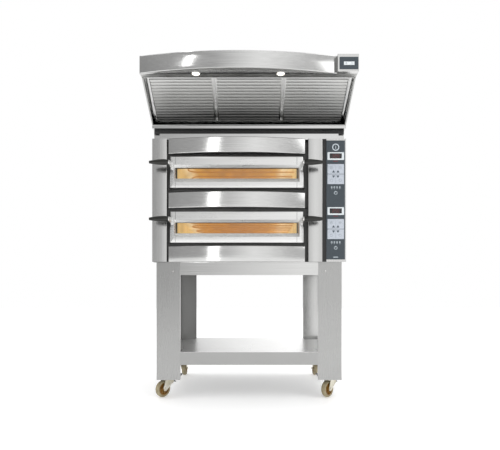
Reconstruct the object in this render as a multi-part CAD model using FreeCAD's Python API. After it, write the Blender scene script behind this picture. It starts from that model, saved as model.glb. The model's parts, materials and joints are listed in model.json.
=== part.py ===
"""Twin-deck electric pizza oven on a castor stand, under an extraction hood.

Millimetres.  X runs across the front to the right, Y from the front to the back, Z up
from the floor.  Every shape is drawn with Y = 0 on the front plane of the oven's
pillars; store() then moves it back so that the origin lies on the floor under the
centre of the whole object.
"""
import FreeCAD, Part
import math
import os

Vector = FreeCAD.Vector

# ---------------------------------------------------------------- driving sizes
OVEN_WIDTH = 1150.0
OVEN_DEPTH = 900.0
SHEET = 2.0                 # folded stainless steel sheet

# Widths across the oven's front, from the left; the baking front takes what is left
LEFT_PILLAR = 87.0
LEFT_SEAM = 11.0
RIGHT_SEAM = 20.0
RIGHT_PILLAR = 85.0
PANEL_GROOVE = 23.0
PANEL_WIDTH = 110.0
PANEL_EDGE = 6.0

# Heights of one deck, from its base: band, gap, door, gap
STAND_TOP = 816.0
BAND_HEIGHT = 92.0
GAP_BELOW_DOOR = 22.0
DOOR_HEIGHT = 184.0
GAP_ABOVE_DOOR = 28.0
TOP_GAP = 17.0
TOP_BAND_HEIGHT = 90.0
MIDDLE_BAND_DROP = 7.0      # middle band below the upper deck's base
BAND_BULGE = 45.0           # how far a front band bows forward at its middle
DECKS = ("lower", "upper")

# Doors
DOOR_SIDE_GAP = 11.0
DOOR_THICKNESS = 40.0
PIVOT_BACK = 20.0           # hinge axis behind the door's front face
PIVOT_UP = 10.0             # hinge axis above the door's lower edge
PIVOT_RADIUS = 5.0
PIN_CLEARANCE = 0.05        # radial, every pin in its hole
ARM_THICKNESS = 4.0         # side plate that carries the hinge
ARM_HEIGHT = 98.0
ARM_HALF = 12.0
WASHER_GAP = 0.5
HINGE_COLLAR = 4.0          # radial, the shoulder behind the washer gap
HINGE_EDGE_GAP = 1.0        # hinge bracket inside the pillar's seam
HINGE_STEP = 1.5            # bracket behind the shoulder's face
WINDOW_SIDE = 28.0          # door edge to window, left and right
WINDOW_UP = 57.0
WINDOW_HEIGHT = 64.0
BEZEL_BELOW = 22.0
BEZEL_ABOVE = 15.0
BEZEL_SIDE = 8.0
BEZEL_DEPTH = 14.0
BEZEL_LIP = 1.0
PANE = 4.0
GLASS_LAP = 7.0
GRIP_UP = 128.0             # grip axis above the door's lower edge
GRIP_OUT = 90.0             # grip axis in front of the door
GRIP_LENGTH = 111.0
GRIP_RADIUS = 17.0
GRIP_NECK = 12.0
GRIP_TIP = 8.0
GRIP_SHAPE = ((0.12, 0.95), (0.3, 1.0), (0.65, 0.78))  # shares of length and radius
HANDLE_PLATE = 6.0
HANDLE_HEIGHT = 24.0

# Baking chambers
DOOR_LAP = 33.0             # door beyond the chamber mouth, left and right
SWEEP_CLEARANCE = 0.6       # between the door's lower corner and the seal as it opens
SEAL_THICKNESS = 5.0
SEAL_WIDTH = 9.0
REAR_SPACE = 134.0          # behind a chamber
REAR_RECESS = 24.0          # back panel inside the rear edges of the sides
MOUTH_UP = 14.0             # stone top above the door's lower edge
MOUTH_TO_DOOR = 30.0        # door's upper edge above the chamber mouth
STONE_THICKNESS = 16.0
STONE_FIT = 2.0
BELOW_STONE = 18.0
LEDGE_WIDTH = 20.0
LEDGE_THICKNESS = 3.0
ELEMENT_RADIUS = 4.0
ELEMENT_COUNT = 3
ELEMENT_END_GAP = 30.0
LAMP_RADIUS = 26.0
LAMP_DEPTH = 9.0
LAMP_INSET = 90.0           # lamp axis from the chamber's right wall

# Control column
PANEL_THICKNESS = 6.0
PANEL_LOW = 14.0            # panel edges from the body's base and top
PANEL_HIGH = 11.0
OVERLAY = 1.5
OVERLAY_SIDE = 6.0
KEYPAD_UP = 21.0            # keypad's lower edge above the door's
KEYPAD_HEIGHT = 119.0
DISPLAY_UP = 164.0
DISPLAY_HEIGHT = 46.0

# Stand
STAND_INSET = 23.0
STAND_FRONT = 15.0
STAND_REAR_INSET = 5.0
LEG_FACE = 140.0
LEG_DEPTH = 130.0
LEG_RETURN = 25.0
LEG_SKIRT = 16.0            # leg below the castor's mounting plate
BEAM_HEIGHT = 78.0
RAIL_HEIGHT = 46.0          # rear beam and side rails
BEAM_LIP = 30.0
TAB_LENGTH = 60.0
SHELF_TOP = 279.0
SHELF_LIP = 77.0
BOLT_RADIUS = 4.0
BOLT_HOLE_CLEARANCE = 0.3
BOLT_HEAD_RADIUS = 6.5
BOLT_HEAD = 4.0
BOLT_INSET = 41.0           # from the leg's inner edge
BOLT_DROP = 55.0            # front bolts below the stand's top

# Castors
CASTOR_HEAD = 28.0          # mounting face above the wheel
CASTOR_INSET_X = 53.0       # swivel axis from the leg's outer face
CASTOR_INSET_Y = 83.0       # swivel axis from the leg's front or rear face
PLATE_LENGTH = 92.0
PLATE_THICKNESS = 4.0
FOOT_THICKNESS = 3.0
BOSS_RADIUS = 22.0
BOSS_HEIGHT = 5.0
KINGPIN_RADIUS = 6.0
KINGPIN_HEAD = 9.0
SWIVEL_GAP = 0.5
CROWN_RADIUS = 29.0
CROWN_THICKNESS = 5.0
FORK_PLATE = 3.0
FORK_FOOT = 13.0            # fork arm round the axle
FORK_GAP = 3.0              # wheel to fork arm, each side
WHEEL_RADIUS = 50.0
WHEEL_WIDTH = 32.0
WHEEL_ROUND = 6.0
HUB_RADIUS = 15.0
HUB_PROUD = 2.0
HUB_DRAFT = 2.0
WEB_RECESS = 4.0
RIM_DRAFT = 3.0
AXLE_RADIUS = 5.0
AXLE_HEAD_RADIUS = 8.5
AXLE_HEAD = 5.0
TRAIL = 38.0
FRONT_SWIVEL = 230.0        # direction in which a castor trails, degrees from +X
REAR_SWIVEL = 90.0
PEDAL_BACK = 25.0           # pedal pivot behind the swivel axis
PEDAL_DROP = 30.0           # pedal pivot below the mounting face
PEDAL_PIVOT_RADIUS = 3.0
PEDAL_EYE = 3.0
PEDAL_TOE = 9.0
TOE_OVERHANG = 4.0
TOE_RISE = 2.0
PEDAL_WIDTH = 30.0
PEDAL_LENGTH = 34.0
PEDAL_THICKNESS = 5.0
PEDAL_SLOPE = 28.0

# Hood, upwards from the oven's roof
HOOD_BASE_HEIGHT = 35.0
HOOD_NECK_HEIGHT = 26.0
GUTTER_HEIGHT = 15.0
SLOPE_RISE = 166.0
FASCIA_HEIGHT = 93.0
HOOD_BASE_FRONT = 20.0
HOOD_BASE_END_SETBACK = 25.0
HOOD_BASE_END = 37.0
HOOD_END_GAP = 4.0
NECK_SETBACK = 60.0
HOOD_REAR_INSET = 20.0
HOOD_OVERHANG = 325.0
UNDERSIDE_DEPTH = 47.0
FASCIA_BULGE = 66.0
HOOD_BOX_WIDTH = 110.0
HOOD_BOX_THICKNESS = 26.0
FILTER_COUNT = 3
FILTER_RECESS = 40.0        # filter face behind the slanted edge of the side walls
FILTER_THICKNESS = 25.0
FILTER_FIT = 1.0
FILTER_SLIDE = 0.05         # between a filter's face and its rails
FILTER_LOW = 20.0           # filter's lower edge below the start of the slope
FILTER_TOP_GAP = 22.0
FILTER_FRAME = 14.0
BAFFLE_PITCH = 20.0
BAFFLE_WIDTH = 17.0
BAFFLE_SHEET = 3.0
RAIL_LAP = 26.0
MULLION_WIDTH = 14.0
LIGHT_RADIUS = 24.0
LIGHT_SPACING = 448.0
LIGHT_INSET = 3.0           # light axis behind the hood's front corners
LIGHT_RIM = 3.0
LIGHT_HEIGHT = 26.0
ROCKER_WIDTH = 55.0
ROCKER_HEIGHT = 17.4
ROCKER_THICKNESS = 7.0
ROCKER_CLEARANCE = 0.5
ROCKER_PIN = 1.0
ROCKER_UP = 0.45            # share of the housing's height
ROCKER_SHIFT = 4.0
FAN_REAR_GAP = 90.0         # fan box to the hood's rear
FAN_BOX = 380.0
FAN_BOX_HEIGHT = 200.0
FAN_INLET_RADIUS = 90.0
IMPELLER_RADIUS = 120.0
IMPELLER_HEIGHT = 80.0
IMPELLER_CLEARANCE = 30.0
IMPELLER_BLADES = 12
BLADE_START = 0.76          # shares of the impeller's radius
RING_START = 0.75
BLADE_SLANT = 35.0
BLADE_EDGE = 1.0
SPIDER_LAP = 10.0
SPIDER_HALF = 8.0
SHAFT_RADIUS = 6.0
COLLAR_RADIUS = 100.0
COLLAR_HEIGHT = 50.0
COLLAR_FIT = 1.5

# Cable gland on the back panel
GLAND_X = 350.0
GLAND_UP = 70.0
GLAND_BORE = 7.0
GLAND_NECK = 10.0
GLAND_HEX = 15.0
GLAND_OUT = 22.0
GLAND_NUT = 8.0

# ---------------------------------------------------------------- derived places
LEFT = -OVEN_WIDTH / 2
RIGHT = OVEN_WIDTH / 2
FRONT_X0 = LEFT + LEFT_PILLAR + LEFT_SEAM
PANEL_X1 = RIGHT - PANEL_EDGE
PANEL_X0 = PANEL_X1 - PANEL_WIDTH
PILLAR_X1 = PANEL_X0 - PANEL_GROOVE
PILLAR_X0 = PILLAR_X1 - RIGHT_PILLAR
FRONT_X1 = PILLAR_X0 - RIGHT_SEAM
DOOR_X0 = FRONT_X0 + DOOR_SIDE_GAP
DOOR_X1 = FRONT_X1 - DOOR_SIDE_GAP
DOOR_CENTRE = (DOOR_X0 + DOOR_X1) / 2
CHAMBER_X0 = DOOR_X0 + DOOR_LAP
CHAMBER_X1 = DOOR_X1 - DOOR_LAP

MOUTH_HEIGHT = DOOR_HEIGHT - MOUTH_UP - MOUTH_TO_DOOR
DECK_PITCH = BAND_HEIGHT + GAP_BELOW_DOOR + DOOR_HEIGHT + GAP_ABOVE_DOOR
DOOR_UP = BAND_HEIGHT + GAP_BELOW_DOOR
BODY_TOP = STAND_TOP + DECK_PITCH + DOOR_UP + DOOR_HEIGHT + TOP_GAP + TOP_BAND_HEIGHT

SWEEP = math.hypot(DOOR_THICKNESS - PIVOT_BACK, PIVOT_UP)
SEAL_FRONT = PIVOT_BACK + SWEEP + SWEEP_CLEARANCE
BULKHEAD = SEAL_FRONT + SEAL_THICKNESS
CHAMBER_BACK = OVEN_DEPTH - REAR_SPACE
BACK_FACE = OVEN_DEPTH - REAR_RECESS
GLAND_Z = STAND_TOP + GLAND_UP

HOOD_FLOOR = BODY_TOP + HOOD_BASE_HEIGHT
GUTTER_FLOOR = HOOD_FLOOR + HOOD_NECK_HEIGHT
SLOPE_LOW = GUTTER_FLOOR + GUTTER_HEIGHT
UNDERSIDE = SLOPE_LOW + SLOPE_RISE
HOOD_TOP = UNDERSIDE + FASCIA_HEIGHT
SLOPE_FRONT = HOOD_OVERHANG - UNDERSIDE_DEPTH
SLOPE_ANGLE = math.degrees(math.atan2(SLOPE_RISE, SLOPE_FRONT))
SLOPE_LENGTH = math.hypot(SLOPE_RISE, SLOPE_FRONT)
HOOD_REAR = OVEN_DEPTH - HOOD_REAR_INSET
FAN_BACK = HOOD_REAR - FAN_REAR_GAP - FAN_BOX / 2
LIGHT_BACK = HOOD_OVERHANG - LIGHT_INSET
FASCIA_X1 = RIGHT - HOOD_BOX_WIDTH
LIGHT_CENTRE = (LEFT + FASCIA_X1) / 2

CASTOR_HEIGHT = 2 * WHEEL_RADIUS + CASTOR_HEAD
LEG_BOTTOM = CASTOR_HEIGHT - LEG_SKIRT
PEDAL_PIVOT = (-PEDAL_BACK, CASTOR_HEIGHT - PEDAL_DROP)

STAND_SIDE = RIGHT - STAND_INSET
STAND_REAR = OVEN_DEPTH - STAND_REAR_INSET
LEG_INNER = STAND_SIDE - LEG_FACE
CENTRE_Y = (OVEN_DEPTH - HOOD_OVERHANG - FASCIA_BULGE) / 2


# ---------------------------------------------------------------- helpers
def block(x0, x1, y0, y1, z0, z1):
    """Box between two corners."""
    return Part.makeBox(x1 - x0, y1 - y0, z1 - z0, Vector(x0, y0, z0))


def join(*shapes):
    """One solid from pieces that touch or overlap."""
    return shapes[0].multiFuse(list(shapes[1:])).removeSplitter()


def group(shapes):
    """Separate solids of one node."""
    return Part.makeCompound(list(shapes))


def rod(x, y, z, radius, length, direction):
    """Cylinder from a point along a direction."""
    return Part.makeCylinder(radius, length, Vector(x, y, z), Vector(*direction))


def prism_x(points, x0, x1):
    """Outline of (y, z) points carried along X."""
    wire = Part.makePolygon([Vector(x0, y, z) for y, z in points + points[:1]])
    return Part.Face(wire).extrude(Vector(x1 - x0, 0, 0))


def prism_z(points, z0, z1):
    """Outline of (x, y) points carried along Z."""
    wire = Part.makePolygon([Vector(x, y, z0) for x, y in points + points[:1]])
    return Part.Face(wire).extrude(Vector(0, 0, z1 - z0))


def mirror_x(shape, about=0.0):
    """Copy on the other side of the plane x = about."""
    return shape.mirror(Vector(about, 0, 0), Vector(1, 0, 0))


def mirror_y(shape, about):
    """Copy on the other side of the plane y = about."""
    return shape.mirror(Vector(0, about, 0), Vector(0, 1, 0))


def bow(x0, x1, bulge, chord, back, z0, z1):
    """Prism whose front is an arc bowed forward from the chord line and whose back is flat."""
    middle = (x0 + x1) / 2
    front = Part.Arc(Vector(x0, chord, z0), Vector(middle, chord - bulge, z0), Vector(x1, chord, z0))
    rest = Part.makePolygon([Vector(x1, chord, z0), Vector(x1, back, z0), Vector(x0, back, z0),
                             Vector(x0, chord, z0)])
    wire = Part.Wire([front.toShape()] + rest.Edges)
    return Part.Face(wire).extrude(Vector(0, 0, z1 - z0))


def bowed_pan(x0, x1, bulge, chord, back, z0, z1):
    """Bowed sheet with lips on four sides, open at the back."""
    inner = bow(x0 + SHEET, x1 - SHEET, bulge, chord + SHEET, back + SHEET, z0 + SHEET, z1 - SHEET)
    return bow(x0, x1, bulge, chord, back, z0, z1).cut(inner)


def channel_z(x0, x1, y0, y1, z0, z1):
    """Upright folded pillar: a front face with two side returns, open at the back."""
    return block(x0, x1, y0, y1, z0, z1).cut(
        block(x0 + SHEET, x1 - SHEET, y0 + SHEET, y1 + SHEET, z0 - SHEET, z1 + SHEET))


def store(node, shape):
    """Moves a node into the object's frame and writes its STEP file."""
    moved = shape.copy()
    moved.translate(Vector(0, -CENTRE_Y, 0))
    moved.exportStep("parts/" + node + ".step")


def deck_base(deck):
    """Height of a deck's lower edge."""
    return STAND_TOP + DECKS.index(deck) * DECK_PITCH


def door_base(deck):
    """Height of a door's lower edge."""
    return deck_base(deck) + DOOR_UP


# ---------------------------------------------------------------- stand
def bolt_places():
    """Where the bolts go through the legs: x, face y, and +1 for the front, -1 for the rear."""
    for side in (-1, 1):
        x = side * (LEG_INNER + BOLT_INSET)
        yield x, STAND_FRONT, STAND_TOP - BOLT_DROP, 1
        yield x, STAND_REAR, STAND_TOP - RAIL_HEIGHT / 2, -1


def bolt_hole(x, y, z, inward):
    """Cutter for one bolt hole."""
    start = y - inward * SHEET
    radius = BOLT_RADIUS + BOLT_HOLE_CLEARANCE
    return rod(x, start, z, radius, 4 * SHEET, (0, inward, 0))


def leg_front_left():
    """Folded leg: front face, outer flange, inner return, and a foot plate for the castor."""
    x0 = -STAND_SIDE
    x1 = -LEG_INNER
    y0 = STAND_FRONT
    top = STAND_TOP
    foot = CASTOR_HEIGHT
    face = block(x0, x1, y0, y0 + SHEET, LEG_BOTTOM, top)
    flange = block(x0, x0 + SHEET, y0, y0 + LEG_DEPTH, LEG_BOTTOM, top)
    inner = block(x1 - SHEET, x1, y0, y0 + LEG_RETURN, LEG_BOTTOM, top)
    plate = block(x0, x1, y0, y0 + LEG_DEPTH, foot, foot + FOOT_THICKNESS)
    cap = block(x0, x1, y0, y0 + LEG_DEPTH, top - SHEET, top)
    return join(face, flange, inner, plate, cap)


def notched_leg(height):
    """Front left leg with the notch for the tab of a beam of this height."""
    notch = block(-LEG_INNER - SHEET, -LEG_INNER, STAND_FRONT + SHEET, STAND_FRONT + 2 * SHEET,
                  STAND_TOP - height + SHEET, STAND_TOP - SHEET)
    return leg_front_left().cut(notch)


def legs():
    """The four legs by name, with their bolt holes and the notch that a beam tab passes."""
    middle = (STAND_FRONT + STAND_REAR) / 2
    front = notched_leg(BEAM_HEIGHT)
    rear = mirror_y(notched_leg(RAIL_HEIGHT), middle)
    shapes = {"leg_front_left": front, "leg_front_right": mirror_x(front),
              "leg_rear_left": rear, "leg_rear_right": mirror_x(rear)}
    holes = group(bolt_hole(*place) for place in bolt_places())
    return {node: shape.cut(holes) for node, shape in shapes.items()}


def stand_beam(y, inward, height):
    """Top beam between two legs: a folded channel with a bolted tab behind each leg face."""
    z0 = STAND_TOP - height

    def span(near, far):
        return sorted((y + inward * near, y + inward * far))

    face = block(-LEG_INNER, LEG_INNER, *span(0, SHEET), z0, STAND_TOP)
    low = block(-LEG_INNER, LEG_INNER, *span(0, BEAM_LIP), z0, z0 + SHEET)
    high = block(-LEG_INNER, LEG_INNER, *span(0, BEAM_LIP), STAND_TOP - SHEET, STAND_TOP)
    reach = LEG_INNER + TAB_LENGTH
    tabs = block(-reach, reach, *span(SHEET, 2 * SHEET), z0 + SHEET, STAND_TOP - SHEET)
    return join(face, low, high, tabs)


def stand_beams():
    """Front and rear beams."""
    holes = group(bolt_hole(*place) for place in bolt_places())
    front = stand_beam(STAND_FRONT, 1, BEAM_HEIGHT)
    rear = stand_beam(STAND_REAR, -1, RAIL_HEIGHT)
    return group([front.cut(holes), rear.cut(holes)])


def stand_rails():
    """Left and right top rails between the legs."""
    y0 = STAND_FRONT + LEG_DEPTH
    y1 = STAND_REAR - LEG_DEPTH
    x0 = -STAND_SIDE
    z0 = STAND_TOP - RAIL_HEIGHT
    rail = join(block(x0, x0 + SHEET, y0, y1, z0, STAND_TOP),
                block(x0, x0 + BEAM_LIP, y0, y1, z0, z0 + SHEET),
                block(x0, x0 + BEAM_LIP, y0, y1, STAND_TOP - SHEET, STAND_TOP))
    return group([rail, mirror_x(rail)])


def lower_shelf():
    """Shelf tray notched round the legs, with its four edges folded down."""
    x_in = LEG_INNER
    x_out = STAND_SIDE
    y0 = STAND_FRONT
    y1 = STAND_REAR
    n0 = y0 + LEG_DEPTH
    n1 = y1 - LEG_DEPTH
    outline = [(-x_in, y0), (x_in, y0), (x_in, n0), (x_out, n0), (x_out, n1), (x_in, n1),
               (x_in, y1), (-x_in, y1), (-x_in, n1), (-x_out, n1), (-x_out, n0), (-x_in, n0)]
    low = SHELF_TOP - SHELF_LIP
    top = prism_z(outline, SHELF_TOP - SHEET, SHELF_TOP)
    front = block(-x_in, x_in, y0, y0 + SHEET, low, SHELF_TOP)
    rear = block(-x_in, x_in, y1 - SHEET, y1, low, SHELF_TOP)
    left = block(-x_out, -x_out + SHEET, n0, n1, low, SHELF_TOP)
    return join(top, front, rear, left, mirror_x(left))


def stand_bolts():
    """Domed bolts with nuts, one through each leg and beam tab."""
    bolts = []
    for x, y, z, inward in bolt_places():
        grip = 2 * SHEET
        head = rod(x, y - inward * BOLT_HEAD, z, BOLT_HEAD_RADIUS, BOLT_HEAD, (0, inward, 0))
        shank = rod(x, y, z, BOLT_RADIUS, grip + BOLT_HEAD, (0, inward, 0))
        nut = rod(x, y + inward * grip, z, BOLT_HEAD_RADIUS, BOLT_HEAD, (0, inward, 0))
        bolts.append(join(head, shank, nut))
    return group(bolts)


# ---------------------------------------------------------------- castors
def castor_places():
    """Name, swivel axis x and y, and trailing direction of each castor."""
    x = STAND_SIDE - CASTOR_INSET_X
    front = STAND_FRONT + CASTOR_INSET_Y
    rear = STAND_REAR - CASTOR_INSET_Y
    return {"front_left": (-x, front, FRONT_SWIVEL), "front_right": (x, front, FRONT_SWIVEL),
            "rear_left": (-x, rear, REAR_SWIVEL), "rear_right": (x, rear, REAR_SWIVEL)}


def place_castor(shape, x, y, angle):
    """Turns a shape drawn trailing along +X to its direction and moves it to its leg."""
    placed = shape.copy()
    placed.rotate(Vector(0, 0, 0), Vector(0, 0, 1), angle)
    placed.translate(Vector(x, y, 0))
    return placed


def castor_plate():
    """Mounting plate with its boss, kingpin and kingpin head."""
    half = PLATE_LENGTH / 2
    top = CASTOR_HEIGHT
    boss_z = top - PLATE_THICKNESS - BOSS_HEIGHT
    crown_low = boss_z - SWIVEL_GAP - CROWN_THICKNESS
    plate = block(-half, half, -half, half, top - PLATE_THICKNESS, top)
    boss = rod(0, 0, boss_z, BOSS_RADIUS, BOSS_HEIGHT, (0, 0, 1))
    head_z = crown_low - SWIVEL_GAP - PLATE_THICKNESS
    head = rod(0, 0, head_z, KINGPIN_HEAD, PLATE_THICKNESS, (0, 0, 1))
    pin = rod(0, 0, head_z, KINGPIN_RADIUS, boss_z - head_z, (0, 0, 1))
    return join(plate, boss, pin, head)


def castor_plates():
    """The four fixed plates; each stays square to the stand."""
    return group(place_castor(castor_plate(), x, y, 0) for x, y, _ in castor_places().values())


def castor_fork(braked):
    """Crown and two arms, with the axle bolt as its own solid."""
    crown_top = CASTOR_HEIGHT - PLATE_THICKNESS - BOSS_HEIGHT - SWIVEL_GAP
    crown_low = crown_top - CROWN_THICKNESS
    arm_y = WHEEL_WIDTH / 2 + FORK_GAP
    foot = FORK_FOOT
    crown = rod(0, 0, crown_low, CROWN_RADIUS, CROWN_THICKNESS, (0, 0, 1))
    bridge = block(-CROWN_RADIUS, CROWN_RADIUS, -arm_y - FORK_PLATE, arm_y + FORK_PLATE,
                   crown_low, crown_top)
    hole = rod(0, 0, crown_low, KINGPIN_RADIUS + PIN_CLEARANCE, CROWN_THICKNESS, (0, 0, 1))
    back = PEDAL_PIVOT[0] - PEDAL_PIVOT_RADIUS * 2
    outline = [(-CROWN_RADIUS, crown_top), (CROWN_RADIUS, crown_top),
               (TRAIL + foot, WHEEL_RADIUS + foot / 2), (TRAIL + foot / 2, WHEEL_RADIUS - foot),
               (TRAIL - foot / 2, WHEEL_RADIUS - foot), (back, PEDAL_PIVOT[1] - foot)]
    wire = Part.makePolygon([Vector(x, arm_y, z) for x, z in outline + outline[:1]])
    arm = Part.Face(wire).extrude(Vector(0, FORK_PLATE, 0))
    bore = rod(TRAIL, -2 * WHEEL_WIDTH, WHEEL_RADIUS, AXLE_RADIUS, 4 * WHEEL_WIDTH, (0, 1, 0))
    other = mirror_y(arm, 0)
    fork = join(crown, bridge, arm, other).cut(hole).cut(bore)
    if braked:
        reach = 2 * (arm_y + FORK_PLATE)
        start = -arm_y - FORK_PLATE
        pivot = rod(PEDAL_PIVOT[0], start, PEDAL_PIVOT[1], PEDAL_PIVOT_RADIUS, reach, (0, 1, 0))
        fork = join(fork, pivot)
    half = arm_y + FORK_PLATE
    head = AXLE_HEAD
    axle = join(rod(TRAIL, -half, WHEEL_RADIUS, AXLE_RADIUS, 2 * half, (0, 1, 0)),
                rod(TRAIL, -half - head, WHEEL_RADIUS, AXLE_HEAD_RADIUS, head, (0, 1, 0)),
                rod(TRAIL, half, WHEEL_RADIUS, AXLE_HEAD_RADIUS, head, (0, 1, 0)))
    return group([fork, axle])


def castor_wheel():
    """Solid tyre and hub turned about the axle, with the bore for it."""
    half = WHEEL_WIDTH / 2
    hub = half + HUB_PROUD
    web = WHEEL_RADIUS - 2 * WHEEL_ROUND
    bore = AXLE_RADIUS + PIN_CLEARANCE
    points = [(bore, -hub), (HUB_RADIUS, -hub), (HUB_RADIUS + HUB_DRAFT, -half + WEB_RECESS),
              (web, -half + WEB_RECESS), (web + RIM_DRAFT, -half), (WHEEL_RADIUS - WHEEL_ROUND, -half)]
    rim_points = [Vector(r, y, 0) for r, y in points]
    lower = Part.makePolygon(rim_points)
    tread = Part.Arc(Vector(WHEEL_RADIUS - WHEEL_ROUND, -half, 0), Vector(WHEEL_RADIUS, 0, 0),
                     Vector(WHEEL_RADIUS - WHEEL_ROUND, half, 0))
    upper = Part.makePolygon([Vector(r, -y, 0) for r, y in reversed(points)])
    close = Part.makePolygon([Vector(bore, hub, 0), Vector(bore, -hub, 0)])
    wire = Part.Wire(lower.Edges + [tread.toShape()] + upper.Edges + close.Edges)
    wheel = Part.Face(wire).revolve(Vector(0, 0, 0), Vector(0, 1, 0), 360)
    wheel.translate(Vector(TRAIL, 0, WHEEL_RADIUS))
    return wheel


def castor_pedal():
    """Brake pedal: an eye on the fork's cross pin and a tread sloping down and outward."""
    x, z = PEDAL_PIVOT
    half = PEDAL_WIDTH / 2
    eye_radius = PEDAL_PIVOT_RADIUS + PEDAL_EYE
    tread = block(-PEDAL_LENGTH, 0, -half, half, -PEDAL_THICKNESS / 2, PEDAL_THICKNESS / 2)
    toe = block(-PEDAL_LENGTH, -PEDAL_LENGTH + PEDAL_TOE, -half - TOE_OVERHANG, half + TOE_OVERHANG,
                -PEDAL_THICKNESS / 2, PEDAL_THICKNESS / 2 + TOE_RISE)
    eye = rod(0, -half, 0, eye_radius, PEDAL_WIDTH, (0, 1, 0))
    hole = rod(0, -half, 0, PEDAL_PIVOT_RADIUS + PIN_CLEARANCE, PEDAL_WIDTH, (0, 1, 0))
    pedal = join(tread, toe, eye).cut(hole)
    pedal.rotate(Vector(0, 0, 0), Vector(0, 1, 0), -PEDAL_SLOPE)
    pedal.translate(Vector(x, 0, z))
    return pedal


# ---------------------------------------------------------------- oven body
def oven_base():
    """Floor sheet of the oven."""
    floor = block(LEFT + SHEET, RIGHT - SHEET, 0, OVEN_DEPTH, STAND_TOP, STAND_TOP + SHEET)
    floor = floor.cut(block(LEFT, PILLAR_X1, -SHEET, BULKHEAD, 0, BODY_TOP))
    return floor.cut(block(LEFT, RIGHT, -SHEET, PANEL_THICKNESS + SHEET, 0, BODY_TOP))


def side_panel_left():
    """Flat left side sheet behind the left pillar."""
    return block(LEFT, LEFT + SHEET, BULKHEAD, OVEN_DEPTH, STAND_TOP, BODY_TOP)


def side_panel_right():
    """Right side sheet folded round to the front as the surround of the control panel."""
    depth = PANEL_THICKNESS
    side = block(RIGHT - SHEET, RIGHT, 0, OVEN_DEPTH, STAND_TOP, BODY_TOP)
    sheet = block(PILLAR_X1, RIGHT, depth, depth + SHEET, STAND_TOP, BODY_TOP)
    edge = block(PANEL_X1, RIGHT, 0, depth, STAND_TOP, BODY_TOP)
    foot = block(PANEL_X0, PANEL_X1, 0, depth, STAND_TOP, STAND_TOP + PANEL_LOW)
    head = block(PANEL_X0, PANEL_X1, 0, depth, BODY_TOP - PANEL_HIGH, BODY_TOP)
    return join(side, sheet, edge, foot, head)


def back_panel():
    """Rear sheet set in between the sides, floor and roof, with the hole for the cable gland."""
    sheet = block(LEFT + SHEET, RIGHT - SHEET, BACK_FACE - SHEET, BACK_FACE, STAND_TOP + SHEET,
                  BODY_TOP - SHEET)
    return sheet.cut(rod(GLAND_X, BACK_FACE - SHEET, GLAND_Z, GLAND_NECK, SHEET, (0, 1, 0)))


def roof_panel():
    """Top sheet of the oven."""
    roof = block(LEFT + SHEET, RIGHT - SHEET, BULKHEAD, OVEN_DEPTH, BODY_TOP - SHEET, BODY_TOP)
    strip = block(PILLAR_X1, RIGHT - SHEET, PANEL_THICKNESS + SHEET, BULKHEAD,
                  BODY_TOP - SHEET, BODY_TOP)
    return join(roof, strip)


def pillar_left():
    """Left front pillar."""
    return channel_z(LEFT, LEFT + LEFT_PILLAR, 0, BULKHEAD, STAND_TOP, BODY_TOP)


def pillar_right():
    """Right front pillar, beside the control column."""
    return channel_z(PILLAR_X0, PILLAR_X1, 0, BULKHEAD, STAND_TOP, BODY_TOP)


def front_band(z0, height):
    """Bowed horizontal band between the pillars."""
    return bowed_pan(FRONT_X0, FRONT_X1, BAND_BULGE, 0, BULKHEAD, z0, z0 + height)


# ---------------------------------------------------------------- chambers
def bulkhead_span(deck):
    """Heights between which a deck's front bulkhead stands."""
    low = deck_base(deck)
    high = BODY_TOP if deck == DECKS[-1] else low + DECK_PITCH
    return low, high


def hinge_pins(deck):
    """Brackets on the bulkhead with the fixed pins and washers of a door's hinge."""
    z = door_base(deck) + PIVOT_UP
    half = PIVOT_RADIUS * 2
    arm_face = DOOR_X0 - ARM_THICKNESS
    washer = arm_face - WASHER_GAP
    start = FRONT_X0 + HINGE_EDGE_GAP
    bracket = block(start, washer - HINGE_STEP, PIVOT_BACK - half, BULKHEAD, z - half, z + half)
    pin = rod(start, PIVOT_BACK, z, PIVOT_RADIUS, DOOR_X0 + 4 * SHEET - FRONT_X0, (1, 0, 0))
    collar = rod(start, PIVOT_BACK, z, PIVOT_RADIUS + HINGE_COLLAR, washer - start, (1, 0, 0))
    left = join(bracket, pin, collar)
    return [left, mirror_x(left, DOOR_CENTRE)]


def chamber(deck):
    """Baking chamber liner: a box open at its mouth, its bulkhead, stone ledges and door pins."""
    mouth_z0 = door_base(deck) + MOUTH_UP
    mouth_z1 = mouth_z0 + MOUTH_HEIGHT
    floor = mouth_z0 - STONE_THICKNESS - BELOW_STONE
    low, high = bulkhead_span(deck)
    outer = block(CHAMBER_X0 - SHEET, CHAMBER_X1 + SHEET, BULKHEAD, CHAMBER_BACK + SHEET,
                  floor - SHEET, mouth_z1 + SHEET)
    inner = block(CHAMBER_X0, CHAMBER_X1, BULKHEAD + SHEET, CHAMBER_BACK, floor, mouth_z1)
    plate = block(LEFT + SHEET, PILLAR_X1, BULKHEAD, BULKHEAD + SHEET, low + SHEET, high - SHEET)
    mouth = block(CHAMBER_X0, CHAMBER_X1, BULKHEAD - SHEET, BULKHEAD + 2 * SHEET, mouth_z0, mouth_z1)
    ledge_top = mouth_z0 - STONE_THICKNESS
    ledge = block(CHAMBER_X0, CHAMBER_X0 + LEDGE_WIDTH, BULKHEAD + SHEET, CHAMBER_BACK,
                  ledge_top - LEDGE_THICKNESS, ledge_top)
    middle = (CHAMBER_X0 + CHAMBER_X1) / 2
    shell = join(outer, plate).cut(inner).cut(mouth)
    return join(shell, ledge, mirror_x(ledge, middle), *hinge_pins(deck))


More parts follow.
